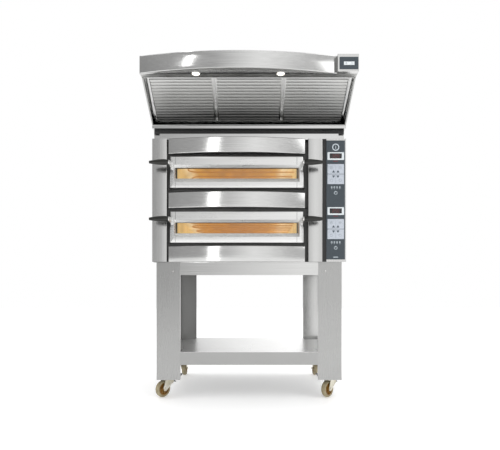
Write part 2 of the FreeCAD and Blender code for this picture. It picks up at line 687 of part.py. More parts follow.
def stone(deck):
    """Refractory baking slab resting on the ledges."""
    top = door_base(deck) + MOUTH_UP
    return block(CHAMBER_X0 + STONE_FIT, CHAMBER_X1 - STONE_FIT, BULKHEAD + SHEET + STONE_FIT,
                 CHAMBER_BACK - STONE_FIT, top - STONE_THICKNESS, top)


def hairpin(x0, x1, y, half_width, z):
    """Tubular heating element: two runs from the right wall, joined by a half turn."""
    runs = [rod(x0, y + side * half_width, z, ELEMENT_RADIUS, x1 - x0, (1, 0, 0)) for side in (-1, 1)]
    turn = Part.makeTorus(half_width, ELEMENT_RADIUS, Vector(x0, y, z), Vector(0, 0, 1), 0, 360, 180)
    turn.rotate(Vector(x0, y, z), Vector(0, 0, 1), 90)
    return join(*runs, turn)


def elements(deck):
    """Hairpin heating elements under the stone and under the ceiling."""
    mouth_z0 = door_base(deck) + MOUTH_UP
    low = mouth_z0 - STONE_THICKNESS - BELOW_STONE / 2 - LEDGE_THICKNESS / 2
    high = mouth_z0 + MOUTH_HEIGHT - 2 * ELEMENT_RADIUS
    y0 = BULKHEAD + SHEET
    pitch = (CHAMBER_BACK - y0) / ELEMENT_COUNT
    half_width = pitch / 4
    start = CHAMBER_X0 + LEDGE_WIDTH + ELEMENT_END_GAP + half_width
    pins = []
    for z in (low, high):
        for index in range(ELEMENT_COUNT):
            y = y0 + (index + 0.5) * pitch
            pins.append(hairpin(start, CHAMBER_X1, y, half_width, z))
    return group(pins)


def chamber_lamps():
    """Round lamp glass on the rear wall of each chamber."""
    lamps = []
    for deck in DECKS:
        z = door_base(deck) + MOUTH_UP + MOUTH_HEIGHT / 2
        lamps.append(rod(CHAMBER_X1 - LAMP_INSET, CHAMBER_BACK, z, LAMP_RADIUS, LAMP_DEPTH, (0, -1, 0)))
    return group(lamps)


def door_seals():
    """Rope seal on the bulkhead round each chamber mouth."""
    seals = []
    for deck in DECKS:
        z0 = door_base(deck) + MOUTH_UP
        outer = block(CHAMBER_X0 - SEAL_WIDTH, CHAMBER_X1 + SEAL_WIDTH, SEAL_FRONT, BULKHEAD,
                      z0 - SEAL_WIDTH, z0 + MOUTH_HEIGHT + SEAL_WIDTH)
        inner = block(CHAMBER_X0, CHAMBER_X1, SEAL_FRONT - SHEET, BULKHEAD + SHEET,
                      z0, z0 + MOUTH_HEIGHT)
        seals.append(outer.cut(inner))
    return group(seals)


# ---------------------------------------------------------------- doors
def rectangle(x0, x1, z0, z1, y):
    """Rectangular wire in an upright plane."""
    corners = [Vector(x0, y, z0), Vector(x1, y, z0), Vector(x1, y, z1), Vector(x0, y, z1)]
    return Part.makePolygon(corners + corners[:1])


def door_frame(deck):
    """Door pan with its bevelled window frame, hinge arms and handle plates."""
    z0 = door_base(deck)
    z1 = z0 + DOOR_HEIGHT
    wx0 = DOOR_X0 + WINDOW_SIDE
    wx1 = DOOR_X1 - WINDOW_SIDE
    wz0 = z0 + WINDOW_UP
    wz1 = wz0 + WINDOW_HEIGHT
    pan = block(DOOR_X0, DOOR_X1, 0, DOOR_THICKNESS, z0, z1).cut(
        block(DOOR_X0 + SHEET, DOOR_X1 - SHEET, SHEET, DOOR_THICKNESS + SHEET, z0 + SHEET, z1 - SHEET))
    bezel = block(wx0 - BEZEL_SIDE, wx1 + BEZEL_SIDE, 0, BEZEL_DEPTH, wz0 - BEZEL_BELOW,
                  wz1 + BEZEL_ABOVE)
    mouth = Part.makeLoft([
        rectangle(wx0 - BEZEL_SIDE + BEZEL_LIP, wx1 + BEZEL_SIDE - BEZEL_LIP,
                  wz0 - BEZEL_BELOW + BEZEL_LIP, wz1 + BEZEL_ABOVE - BEZEL_LIP, 0),
        rectangle(wx0, wx1, wz0, wz1, BEZEL_DEPTH)], True, True)
    arm = block(DOOR_X0 - ARM_THICKNESS, DOOR_X0, PIVOT_BACK - ARM_HALF, PIVOT_BACK + ARM_HALF, z0,
                z0 + ARM_HEIGHT)
    plate_x = DOOR_X0 + HANDLE_PLATE / 2
    grip_z = z0 + GRIP_UP
    handle = block(plate_x, plate_x + HANDLE_PLATE, -GRIP_OUT - HANDLE_HEIGHT / 2, 0,
                   grip_z - HANDLE_HEIGHT / 2, grip_z + HANDLE_HEIGHT / 2)
    hole = rod(DOOR_X0 - 2 * ARM_THICKNESS, PIVOT_BACK, z0 + PIVOT_UP, PIVOT_RADIUS + PIN_CLEARANCE,
               DOOR_X1 - DOOR_X0 + 4 * ARM_THICKNESS, (1, 0, 0))
    frame = join(pan, bezel).cut(mouth)
    frame = join(frame, arm, mirror_x(arm, DOOR_CENTRE), handle, mirror_x(handle, DOOR_CENTRE))
    return frame.cut(hole)


def door_inner(deck):
    """Inner face sheet of a door, with its window."""
    z0 = door_base(deck)
    sheet = block(DOOR_X0 + SHEET, DOOR_X1 - SHEET, DOOR_THICKNESS - SHEET, DOOR_THICKNESS,
                  z0 + SHEET, z0 + DOOR_HEIGHT - SHEET)
    wz0 = z0 + WINDOW_UP
    window = block(DOOR_X0 + WINDOW_SIDE, DOOR_X1 - WINDOW_SIDE, 0, 2 * DOOR_THICKNESS, wz0,
                   wz0 + WINDOW_HEIGHT)
    return sheet.cut(window)


def door_glass(deck):
    """Outer and inner panes."""
    wz0 = door_base(deck) + WINDOW_UP
    x0 = DOOR_X0 + WINDOW_SIDE - GLASS_LAP
    x1 = DOOR_X1 - WINDOW_SIDE + GLASS_LAP
    z0 = wz0 - GLASS_LAP
    z1 = wz0 + WINDOW_HEIGHT + GLASS_LAP
    back = DOOR_THICKNESS - SHEET
    return group([block(x0, x1, BEZEL_DEPTH, BEZEL_DEPTH + PANE, z0, z1),
                  block(x0, x1, back - PANE, back, z0, z1)])


def grip():
    """Turned grip lying along -X from its handle plate, fattest near the plate."""
    outline = Part.BSplineCurve()
    swell = [Vector(-GRIP_LENGTH * along, GRIP_RADIUS * radius, 0) for along, radius in GRIP_SHAPE]
    outline.interpolate([Vector(0, GRIP_NECK, 0), *swell,
                         Vector(-GRIP_LENGTH + GRIP_TIP / 2, GRIP_TIP, 0)])
    tip = Part.makePolygon([Vector(-GRIP_LENGTH + GRIP_TIP / 2, GRIP_TIP, 0),
                            Vector(-GRIP_LENGTH, GRIP_TIP / 2, 0), Vector(-GRIP_LENGTH, 0, 0),
                            Vector(0, 0, 0), Vector(0, GRIP_NECK, 0)])
    wire = Part.Wire([outline.toShape()] + tip.Edges)
    return Part.Face(wire).revolve(Vector(0, 0, 0), Vector(1, 0, 0), 360)


def door_grips(deck):
    """Left and right grips of a door."""
    left = grip()
    left.translate(Vector(DOOR_X0 + HANDLE_PLATE / 2, -GRIP_OUT, door_base(deck) + GRIP_UP))
    return group([left, mirror_x(left, DOOR_CENTRE)])


# ---------------------------------------------------------------- controls
def control_panel():
    """Dark upright panel in its surround."""
    return block(PANEL_X0, PANEL_X1, 0, PANEL_THICKNESS, STAND_TOP + PANEL_LOW, BODY_TOP - PANEL_HIGH)


def overlays(up, height):
    """One thin overlay on the control panel for each deck."""
    x0 = PANEL_X0 + OVERLAY_SIDE
    x1 = PANEL_X1 - OVERLAY_SIDE
    return group(block(x0, x1, -OVERLAY, 0, door_base(deck) + up, door_base(deck) + up + height)
                 for deck in DECKS)


def cable_gland():
    """Hexagonal gland on the back panel, its neck through the sheet and its nut inside."""
    turns = [math.radians(60 * k) for k in range(6)]
    corners = [(GLAND_HEX * math.cos(turn), GLAND_HEX * math.sin(turn)) for turn in turns]
    length = GLAND_NUT + SHEET + GLAND_OUT
    neck = rod(0, 0, GLAND_NUT, GLAND_NECK, SHEET, (0, 0, 1))
    body = join(prism_z(corners, 0, GLAND_NUT), neck, prism_z(corners, GLAND_NUT + SHEET, length))
    body = body.cut(rod(0, 0, 0, GLAND_BORE, length, (0, 0, 1)))
    body.rotate(Vector(0, 0, 0), Vector(1, 0, 0), -90)
    body.translate(Vector(GLAND_X, BACK_FACE - SHEET - GLAND_NUT, GLAND_Z))
    return body


# ---------------------------------------------------------------- hood
def hood_profile():
    """Side outline of the hood as (y, z) points."""
    return [(-HOOD_OVERHANG, HOOD_TOP), (HOOD_REAR, HOOD_TOP), (HOOD_REAR, HOOD_FLOOR),
            (NECK_SETBACK, HOOD_FLOOR), (NECK_SETBACK, GUTTER_FLOOR), (0, GUTTER_FLOOR),
            (0, SLOPE_LOW), (-SLOPE_FRONT, UNDERSIDE), (-HOOD_OVERHANG, UNDERSIDE)]


def on_slope(shape):
    """Moves a shape drawn flat (y up the slope, z out of the hood) onto the filter slope."""
    placed = shape.copy()
    placed.rotate(Vector(0, 0, 0), Vector(1, 0, 0), 180 - SLOPE_ANGLE)
    placed.translate(Vector(0, 0, SLOPE_LOW))
    return placed


def hood_rails():
    """Channels across the slope that hold the filters, and the bars between the filters."""
    x0 = LEFT + SHEET
    x1 = RIGHT - SHEET
    face = -FILTER_RECESS
    low = -FILTER_LOW
    lower = block(x0, x1, low - SHEET, low + RAIL_LAP, face, face + SHEET)
    stop = block(x0, x1, low - SHEET, low, face - FILTER_THICKNESS - SHEET, face)
    top_edge = SLOPE_LENGTH - SHEET
    upper = block(x0, x1, SLOPE_LENGTH - FILTER_TOP_GAP - RAIL_LAP / 2, top_edge, face, face + SHEET)
    skirt = block(x0, x1, top_edge - SHEET, top_edge, face, -SHEET)
    bars = []
    for index in range(1, FILTER_COUNT):
        x = LEFT + SHEET + index * (OVEN_WIDTH - 2 * SHEET) / FILTER_COUNT
        bars.append(block(x - MULLION_WIDTH / 2, x + MULLION_WIDTH / 2, low, top_edge, face,
                          face + SHEET))
    return [on_slope(piece) for piece in (lower, stop, upper, skirt, *bars)]


def hood_canopy():
    """Folded hood shell: side walls, top, rear, floor and gutter, open over the filters."""
    outline = hood_profile()
    outer = prism_x(outline, LEFT, RIGHT)
    wire = Part.makePolygon([Vector(LEFT + SHEET, y, z) for y, z in outline + outline[:1]])
    inset = Part.Wire(wire.Edges).makeOffset2D(-SHEET, 2)
    inner = Part.Face(inset).extrude(Vector(OVEN_WIDTH - 2 * SHEET, 0, 0))
    mouth = prism_x([(-2 * SHEET, SLOPE_LOW + 3 * SHEET), (-SLOPE_FRONT, UNDERSIDE + 3 * SHEET),
                     (-HOOD_OVERHANG - SHEET, UNDERSIDE + 3 * SHEET),
                     (-HOOD_OVERHANG - SHEET, UNDERSIDE - SHEET),
                     (-SLOPE_FRONT, UNDERSIDE - 2 * SHEET),
                     (-2 * SHEET, SLOPE_LOW - 2 * SHEET)], LEFT + SHEET, RIGHT - SHEET)
    front = block(LEFT + SHEET, RIGHT - SHEET, -HOOD_OVERHANG - SHEET, -HOOD_OVERHANG + 2 * SHEET,
                  UNDERSIDE - SHEET, HOOD_TOP - SHEET)
    outlet = rod(0, FAN_BACK, HOOD_TOP - 2 * SHEET, COLLAR_RADIUS + COLLAR_FIT, 4 * SHEET, (0, 0, 1))
    shell = outer.cut(inner).cut(mouth).cut(front).cut(outlet)
    return join(shell, *hood_rails())


def hood_fascia():
    """Bowed hood front with its underside strip and the two light openings."""
    pan = bowed_pan(LEFT, FASCIA_X1, FASCIA_BULGE, -HOOD_OVERHANG, -HOOD_OVERHANG, UNDERSIDE, HOOD_TOP)
    strip = block(LEFT + SHEET, RIGHT - SHEET, -HOOD_OVERHANG, -SLOPE_FRONT, UNDERSIDE,
                  UNDERSIDE + SHEET)
    fascia = join(pan, strip)
    for x, y in light_places():
        fascia = fascia.cut(rod(x, y, UNDERSIDE - SHEET, LIGHT_RADIUS, 4 * SHEET, (0, 0, 1)))
    return fascia


def light_places():
    """Axes of the hood lights."""
    return [(LIGHT_CENTRE + side * LIGHT_SPACING / 2, -LIGHT_BACK) for side in (-1, 1)]


def hood_lights():
    """Two round lights let into the underside, each with a narrow rim below it."""
    lights = []
    for x, y in light_places():
        body = rod(x, y, UNDERSIDE, LIGHT_RADIUS, LIGHT_HEIGHT, (0, 0, 1))
        rim = rod(x, y, UNDERSIDE - SHEET, LIGHT_RADIUS + LIGHT_RIM, SHEET, (0, 0, 1))
        lights.append(join(body, rim))
    return group(lights)


def hood_base():
    """Plinth between the oven's roof and the hood: a frame with a proud front strip."""
    half = RIGHT - HOOD_END_GAP
    end = half - HOOD_BASE_END
    back = HOOD_BASE_FRONT + HOOD_BASE_END_SETBACK
    outline = [(-half, back), (-end, back), (-end, HOOD_BASE_FRONT), (end, HOOD_BASE_FRONT),
               (end, back), (half, back), (half, HOOD_REAR), (-half, HOOD_REAR)]
    inset = [(-half + SHEET, back + SHEET), (-end + SHEET, back + SHEET),
             (-end + SHEET, HOOD_BASE_FRONT + SHEET), (end - SHEET, HOOD_BASE_FRONT + SHEET),
             (end - SHEET, back + SHEET), (half - SHEET, back + SHEET),
             (half - SHEET, HOOD_REAR - SHEET), (-half + SHEET, HOOD_REAR - SHEET)]
    walls = prism_z(outline, BODY_TOP, HOOD_FLOOR).cut(prism_z(inset, BODY_TOP, HOOD_FLOOR))
    cover = block(-end, end, HOOD_BASE_FRONT, NECK_SETBACK + 2 * SHEET, HOOD_FLOOR - SHEET, HOOD_FLOOR)
    return join(walls, cover)


def hood_filter(index):
    """Labyrinth grease filter: a frame with a front and a staggered back row of slats."""
    pitch = (OVEN_WIDTH - 2 * SHEET) / FILTER_COUNT
    x0 = LEFT + SHEET + index * pitch + FILTER_FIT
    x1 = x0 + pitch - 2 * FILTER_FIT
    y0 = -FILTER_LOW
    y1 = SLOPE_LENGTH - FILTER_TOP_GAP
    z1 = -FILTER_RECESS - FILTER_SLIDE
    z0 = -FILTER_RECESS - FILTER_THICKNESS
    frame = block(x0, x1, y0, y1, z0, z1).cut(
        block(x0 + FILTER_FRAME, x1 - FILTER_FRAME, y0 + FILTER_FRAME, y1 - FILTER_FRAME, z0, z1))
    count = int((y1 - y0 - 2 * FILTER_FRAME) // BAFFLE_PITCH)
    first = (y0 + y1) / 2 - (count - 1) * BAFFLE_PITCH / 2
    strips = []
    for row, (low, shift) in enumerate(((z1 - 2 * BAFFLE_SHEET, 0.0),
                                        (z0 + BAFFLE_SHEET, BAFFLE_PITCH / 2))):
        for k in range(count - row):
            y = first + k * BAFFLE_PITCH + shift
            strips.append(block(x0 + FILTER_FRAME / 2, x1 - FILTER_FRAME / 2, y - BAFFLE_WIDTH / 2,
                                y + BAFFLE_WIDTH / 2, low, low + BAFFLE_SHEET))
    return on_slope(join(frame, *strips))


def hood_control_box():
    """Flat control housing at the hood's right end, with the pocket and pin of the rocker."""
    front = -HOOD_OVERHANG - HOOD_BOX_THICKNESS
    box = block(FASCIA_X1, RIGHT, front, -HOOD_OVERHANG, UNDERSIDE, HOOD_TOP)
    x, z = rocker_centre()
    half_x = ROCKER_WIDTH / 2 + ROCKER_CLEARANCE
    half_z = ROCKER_HEIGHT / 2 + ROCKER_CLEARANCE / 2
    pocket = block(x - half_x, x + half_x, front, -HOOD_OVERHANG - SHEET, z - half_z, z + half_z)
    pin = rod(x, rocker_axis_y(), z - half_z, ROCKER_PIN, 2 * half_z, (0, 0, 1))
    return join(box.cut(pocket), pin)


def rocker_centre():
    """Centre of the rocker on the control housing's face."""
    return (FASCIA_X1 + RIGHT) / 2 + ROCKER_SHIFT, UNDERSIDE + FASCIA_HEIGHT * ROCKER_UP


def rocker_axis_y():
    """Depth of the rocker's pin."""
    return -HOOD_OVERHANG - HOOD_BOX_THICKNESS + ROCKER_THICKNESS / 2 - SHEET


def hood_switch():
    """Wide rocker that tips about an upright pin."""
    x, z = rocker_centre()
    y = rocker_axis_y()
    half_x = ROCKER_WIDTH / 2
    half_y = ROCKER_THICKNESS / 2
    half_z = ROCKER_HEIGHT / 2
    body = block(x - half_x, x + half_x, y - half_y, y + half_y, z - half_z, z + half_z)
    hole = rod(x, y, z - half_z, ROCKER_PIN + PIN_CLEARANCE, ROCKER_HEIGHT, (0, 0, 1))
    return body.cut(hole)


def fan_housing():
    """Square fan box under the hood's top, with its inlet, motor shaft stub and duct collar."""
    half = FAN_BOX / 2
    top = HOOD_TOP - SHEET
    low = top - FAN_BOX_HEIGHT
    box = block(-half, half, FAN_BACK - half, FAN_BACK + half, low, top).cut(
        block(-half + SHEET, half - SHEET, FAN_BACK - half + SHEET, FAN_BACK + half - SHEET,
              low + SHEET, top - SHEET))
    inlet = rod(0, FAN_BACK, low - SHEET, FAN_INLET_RADIUS, 3 * SHEET, (0, 0, 1))
    outlet = rod(0, FAN_BACK, top - 2 * SHEET, COLLAR_RADIUS - SHEET, 4 * SHEET, (0, 0, 1))
    collar = rod(0, FAN_BACK, top - SHEET, COLLAR_RADIUS, COLLAR_HEIGHT + 2 * SHEET, (0, 0, 1)).cut(
        rod(0, FAN_BACK, top - SHEET, COLLAR_RADIUS - SHEET, COLLAR_HEIGHT + 2 * SHEET, (0, 0, 1)))
    spider_z = low + SHEET
    reach = FAN_INLET_RADIUS + SPIDER_LAP
    spider = block(-reach, reach, FAN_BACK - SPIDER_HALF, FAN_BACK + SPIDER_HALF, low, spider_z)
    shaft = rod(0, FAN_BACK, low, SHAFT_RADIUS, impeller_base() + IMPELLER_HEIGHT - low, (0, 0, 1))
    return join(box.cut(inlet).cut(outlet), collar, spider, shaft)


def impeller_base():
    """Height of the impeller's lower face."""
    return HOOD_TOP - SHEET - FAN_BOX_HEIGHT + IMPELLER_CLEARANCE


def fan_impeller():
    """Centrifugal wheel: hub disc, bored hub, straight blades and an inlet ring."""
    z = impeller_base()
    disc_z = z + IMPELLER_HEIGHT - SHEET
    disc = rod(0, 0, disc_z, IMPELLER_RADIUS, SHEET, (0, 0, 1))
    hub = rod(0, 0, z + IMPELLER_HEIGHT / 2, 3 * SHAFT_RADIUS, IMPELLER_HEIGHT / 2, (0, 0, 1))
    ring = rod(0, 0, z, IMPELLER_RADIUS, SHEET, (0, 0, 1)).cut(
        rod(0, 0, z, IMPELLER_RADIUS * RING_START, SHEET, (0, 0, 1)))
    blades = []
    for index in range(IMPELLER_BLADES):
        blade = block(IMPELLER_RADIUS * BLADE_START, IMPELLER_RADIUS - BLADE_EDGE, -SHEET / 2,
                      SHEET / 2, z, disc_z)
        middle = IMPELLER_RADIUS * (1 + BLADE_START) / 2
        blade.rotate(Vector(middle, 0, 0), Vector(0, 0, 1), BLADE_SLANT)
        blade.rotate(Vector(0, 0, 0), Vector(0, 0, 1), 360 / IMPELLER_BLADES * index)
        blades.append(blade)
    bore = rod(0, 0, z, SHAFT_RADIUS + PIN_CLEARANCE, IMPELLER_HEIGHT, (0, 0, 1))
    wheel = join(disc, hub, ring, *blades).cut(bore)
    wheel.translate(Vector(0, FAN_BACK, 0))
    return wheel


# ---------------------------------------------------------------- the object
def all_nodes():
    """Every node of the object by name."""
    nodes = dict(legs())
    nodes["stand_beams"] = stand_beams()
    nodes["stand_rails"] = stand_rails()
    nodes["lower_shelf"] = lower_shelf()
    nodes["stand_bolts"] = stand_bolts()
    nodes["castor_plates"] = castor_plates()
    for place, (x, y, angle) in castor_places().items():
        braked = place.startswith("front")
        nodes["castor_fork_" + place] = place_castor(castor_fork(braked), x, y, angle)
        nodes["castor_wheel_" + place] = place_castor(castor_wheel(), x, y, angle)
        if braked:
            nodes["brake_pedal_" + place] = place_castor(castor_pedal(), x, y, angle)
    nodes["oven_base"] = oven_base()
    nodes["side_panel_left"] = side_panel_left()
    nodes["side_panel_right"] = side_panel_right()
    nodes["back_panel"] = back_panel()
    nodes["roof_panel"] = roof_panel()
    nodes["pillar_left"] = pillar_left()
    nodes["pillar_right"] = pillar_right()
    nodes["band_bottom"] = front_band(STAND_TOP, BAND_HEIGHT)
    nodes["band_middle"] = front_band(STAND_TOP + DECK_PITCH - MIDDLE_BAND_DROP, BAND_HEIGHT)
    nodes["band_top"] = front_band(BODY_TOP - TOP_BAND_HEIGHT, TOP_BAND_HEIGHT)
    for deck in DECKS:
        nodes["chamber_" + deck] = chamber(deck)
        nodes["stone_" + deck] = stone(deck)
        nodes["elements_" + deck] = elements(deck)
        nodes["door_frame_" + deck] = door_frame(deck)
        nodes["door_inner_" + deck] = door_inner(deck)
        nodes["door_glass_" + deck] = door_glass(deck)
        nodes["door_grips_" + deck] = door_grips(deck)
    nodes["chamber_lamps"] = chamber_lamps()
    nodes["door_seals"] = door_seals()
    nodes["control_panel"] = control_panel()
    nodes["keypads"] = overlays(KEYPAD_UP, KEYPAD_HEIGHT)
    nodes["displays"] = overlays(DISPLAY_UP, DISPLAY_HEIGHT)
    nodes["cable_gland"] = cable_gland()
    nodes["hood_base"] = hood_base()
    nodes["hood_canopy"] = hood_canopy()
    nodes["hood_fascia"] = hood_fascia()
    nodes["hood_lights"] = hood_lights()
    nodes["hood_control_box"] = hood_control_box()
    nodes["hood_switch"] = hood_switch()
    nodes["fan_housing"] = fan_housing()
    nodes["fan_impeller"] = fan_impeller()
    for index, place in enumerate(("left", "middle", "right")):
        nodes["filter_" + place] = hood_filter(index)
    return nodes


def main():
    """Builds every node and writes its file."""
    os.makedirs("parts", exist_ok=True)
    for node, shape in all_nodes().items():
        store(node, shape)


main()
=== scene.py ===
"""Looks of the twin-deck pizza oven: stand and castors, oven body, doors, controls, hood.

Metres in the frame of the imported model: +X to the right, +Y to the back, +Z up, floor at 0.
Every shape is a (points, faces) pair worked out as whole arrays; piece() makes it a mesh.
"""
import bpy
import bmesh
import json
import math
import numpy as np
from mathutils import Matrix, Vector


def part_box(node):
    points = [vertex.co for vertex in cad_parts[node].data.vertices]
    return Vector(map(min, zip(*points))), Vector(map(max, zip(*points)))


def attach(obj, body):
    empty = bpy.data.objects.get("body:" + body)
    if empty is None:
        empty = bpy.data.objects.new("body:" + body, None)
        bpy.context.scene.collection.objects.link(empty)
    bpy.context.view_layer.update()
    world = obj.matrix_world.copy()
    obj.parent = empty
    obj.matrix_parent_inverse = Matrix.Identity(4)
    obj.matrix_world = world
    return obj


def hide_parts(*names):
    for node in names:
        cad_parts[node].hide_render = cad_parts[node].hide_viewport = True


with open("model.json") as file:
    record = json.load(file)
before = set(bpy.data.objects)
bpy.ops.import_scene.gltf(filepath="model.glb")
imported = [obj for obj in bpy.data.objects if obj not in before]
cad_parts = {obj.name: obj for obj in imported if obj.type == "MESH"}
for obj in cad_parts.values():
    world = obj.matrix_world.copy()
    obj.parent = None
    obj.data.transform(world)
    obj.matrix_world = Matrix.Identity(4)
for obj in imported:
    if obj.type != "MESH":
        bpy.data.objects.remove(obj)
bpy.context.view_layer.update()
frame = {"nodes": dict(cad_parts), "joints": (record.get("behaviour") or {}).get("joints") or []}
NODES = frame["nodes"]

MM = 0.001
SHEET = 2 * MM              # folded stainless sheet
PRINT = 0.25 * MM           # how far a printed or laid-on mark stands out
DECKS = ("lower", "upper")
CASTORS = {"front_left": 230.0, "front_right": 230.0, "rear_left": 90.0, "rear_right": 90.0}


# ---------------------------------------------------------------- places read from the frame
def low(node):
    """Lowest corner of a node."""
    return np.array(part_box(node)[0])


def high(node):
    """Highest corner of a node."""
    return np.array(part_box(node)[1])


FRONT = low("pillar_left")[1]             # front plane of the pillars
BULKHEAD = high("pillar_left")[1]
LEFT = low("pillar_left")[0]
RIGHT = high("side_panel_right")[0]
BODY_LOW = low("pillar_left")[2]
BODY_TOP = high("pillar_left")[2]
BACK_FACE = high("back_panel")[1]
HOOD_TOP = high("hood_fascia")[2]
UNDERSIDE = low("hood_fascia")[2]
HOOD_FRONT = high("hood_control_box")[1]  # where the hood's side walls end at the front
JOINTS = {joint["name"]: joint for joint in frame["joints"]}
FILTER_AXIS = np.array(JOINTS["filter_lift_left"]["axis"])           # up the hood's slope
FILTER_OUT = np.array([0.0, -FILTER_AXIS[2], FILTER_AXIS[1]])        # square to it, outwards


# ---------------------------------------------------------------- shapes
def unit(vectors):
    """Rows scaled to length one."""
    return vectors / np.linalg.norm(vectors, axis=-1, keepdims=True)


def skin(grid, path=False, caps=True):
    """Faces over a grid [section, point, xyz] of closed sections: each quad joins two neighbours on
    a section to the same two on the next; path joins the last to the first, caps close the ends."""
    sections, points = grid.shape[:2]
    i = np.arange(sections if path else sections - 1)[:, None]
    j = np.arange(points)[None, :]
    after = (i + 1) % sections
    beside = (j + 1) % points
    corners = np.broadcast_arrays(i * points + j, i * points + beside,
                                  after * points + beside, after * points + j)
    faces = np.stack(corners, -1).reshape(-1, 4).tolist()
    if caps and not path:
        faces.append(list(range(points))[::-1])
        faces.append(list(range((sections - 1) * points, sections * points)))
    return grid.reshape(-1, 3), faces


def joined(*shapes):
    """Several shapes as one."""
    points = []
    faces = []
    count = 0
    for shape_points, shape_faces in shapes:
        points.append(np.asarray(shape_points, float))
        faces += [[index + count for index in face] for face in shape_faces]
        count += len(shape_points)
    return np.concatenate(points), faces


def moved(shape, offset=(0, 0, 0), turn=0.0, about="Z"):
    """Shape turned by degrees about an axis through the origin, then shifted."""
    points, faces = shape
    c, s = math.cos(math.radians(turn)), math.sin(math.radians(turn))
    turns = {"X": [[1, 0, 0], [0, c, -s], [0, s, c]],
             "Y": [[c, 0, s], [0, 1, 0], [-s, 0, c]],
             "Z": [[c, -s, 0], [s, c, 0], [0, 0, 1]]}
    return points @ np.array(turns[about]).T + np.asarray(offset, float), faces


def flipped(shape, about):
    """Mirror image of a shape across the plane x = about, with its faces turned to match."""
    points, faces = shape
    mirrored = points * [-1, 1, 1] + [2 * about, 0, 0]
    return mirrored, [face[::-1] for face in faces]


def to_metres(shape):
    """Shape drawn in millimetres, in metres."""
    points, faces = shape
    return points * MM, faces


def filleted(corners, radii, steps=4):
    """Closed outline whose corners become arcs: each arc starts and ends radius / tan(half the
    corner's angle) from the corner and turns round the centre on the corner's bisector."""
    p = np.asarray(corners, float)
    before = np.roll(p, 1, 0) - p
    after = np.roll(p, -1, 0) - p
    lengths = np.minimum(np.linalg.norm(before, axis=1), np.linalg.norm(after, axis=1))
    before, after = unit(before), unit(after)
    half = np.arccos(np.clip((before * after).sum(1), -1, 1)) / 2
    radius = np.minimum(np.broadcast_to(radii, half.shape), 0.48 * lengths * np.tan(half))
    centre = p + unit(before + after) * (radius / np.sin(half))[:, None]
    start = p + before * (radius / np.tan(half))[:, None] - centre
    end = p + after * (radius / np.tan(half))[:, None] - centre
    turn = math.pi - 2 * half[:, None, None]
    t = np.linspace(0, 1, steps + 1)[None, :, None]
    arc = (start[:, None] * np.sin((1 - t) * turn) + end[:, None] * np.sin(t * turn)) / np.sin(turn)
    return (centre[:, None] + arc).reshape(-1, p.shape[1])


def rectangle(x0, x1, z0, z1, radius, steps=3):
    """Rectangle outline, its corners rounded."""
    return filleted([(x0, z0), (x1, z0), (x1, z1), (x0, z1)], radius, steps)


def prism(outline, start, end, axis="Z", edge=0.0, steps=2):
    """Outline carried along an axis; with an edge size, its two rims are rounded: the outline
    shrinks towards its middle along a quarter circle as it nears each end."""
    outline = np.asarray(outline, float)
    middle = (outline.min(0) + outline.max(0)) / 2
    half = (outline.max(0) - outline.min(0)) / 2
    if edge:
        angle = np.linspace(0, math.pi / 2, steps + 1)
        inset = edge * (1 - np.sin(angle))
        depth = edge * (1 - np.cos(angle))
        inset = np.concatenate([inset, inset[::-1]])
        along = np.concatenate([start + depth, end - depth[::-1]])
    else:
        inset = np.zeros(2)
        along = np.array([start, end])
    scale = 1 - inset[:, None, None] / half
    flat = middle + (outline - middle)[None] * scale
    height = np.broadcast_to(along[:, None], flat.shape[:2])
    order = {"X": (height, flat[..., 0], flat[..., 1]), "Y": (flat[..., 0], height, flat[..., 1]),
             "Z": (flat[..., 0], flat[..., 1], height)}[axis]
    return skin(np.stack(order, -1))


def plate(x0, x1, y0, y1, z0, z1, edge=0.4 * MM):
    """Flat upright plate with softened edges, carried along the thinner of X and Y."""
    thickness = min(x1 - x0, y1 - y0)
    edge = min(edge, 0.3 * thickness)
    if x1 - x0 < y1 - y0:
        return prism(rectangle(y0, y1, z0, z1, 2 * edge), x0, x1, "X", edge)
    return prism(rectangle(x0, x1, z0, z1, 2 * edge), y0, y1, "Y", edge)


def folded(corners, thickness=SHEET, bend=3 * MM):
    """Outline of a folded sheet: the outer line through the corners, the same line shifted
    inwards to the left by the thickness and mitred at each corner, both with arcs."""
    p = np.asarray(corners, float)
    along = unit(np.diff(p, axis=0))
    left = np.stack([-along[:, 1], along[:, 0]], 1)
    before = np.concatenate([left[:1], left])
    after = np.concatenate([left, left[-1:]])
    mitre = (before + after) / (1 + (before * after).sum(1))[:, None]
    inner = (p + mitre * thickness)[::-1]
    sharp = 0.3 * MM
    radii = np.full(2 * len(p), bend)
    radii[len(p):] = bend - thickness
    radii[[0, len(p) - 1, len(p), -1]] = sharp
    return filleted(np.concatenate([p, inner]), radii, 4)


def turned(profile, start, direction, steps=40):
    """Solid of revolution: each (distance along, radius) pair of the profile is swept round
    the axis; a zero radius closes an end."""
    profile = np.asarray(profile, float)
    axis = unit(np.asarray(direction, float))
    side = unit(np.cross(axis, [0.31, 0.47, 0.83]))
    other = np.cross(axis, side)
    angle = np.linspace(0, 2 * math.pi, steps, endpoint=False)
    ring = side * np.cos(angle)[:, None] + other * np.sin(angle)[:, None]
    grid = (np.asarray(start, float) + axis * profile[:, 0, None, None]
            + ring[None] * np.maximum(profile[:, 1], 1e-6)[:, None, None])
    return skin(grid)


def nested(rings):
    """Frame through a closed loop of rectangles, each a (rectangle, margin, depth, radius) with
    the rectangle (x0, x1, z0, z1) drawn in by the margin; margin and radius in millimetres."""
    grid = []
    for (x0, x1, z0, z1), margin, y, radius in rings:
        inset = margin * MM
        outline = rectangle(x0 + inset, x1 - inset, z0 + inset, z1 - inset, radius * MM)
        grid.append(np.column_stack([outline[:, 0], np.full(len(outline), y), outline[:, 1]]))
    return skin(np.array(grid), path=True)


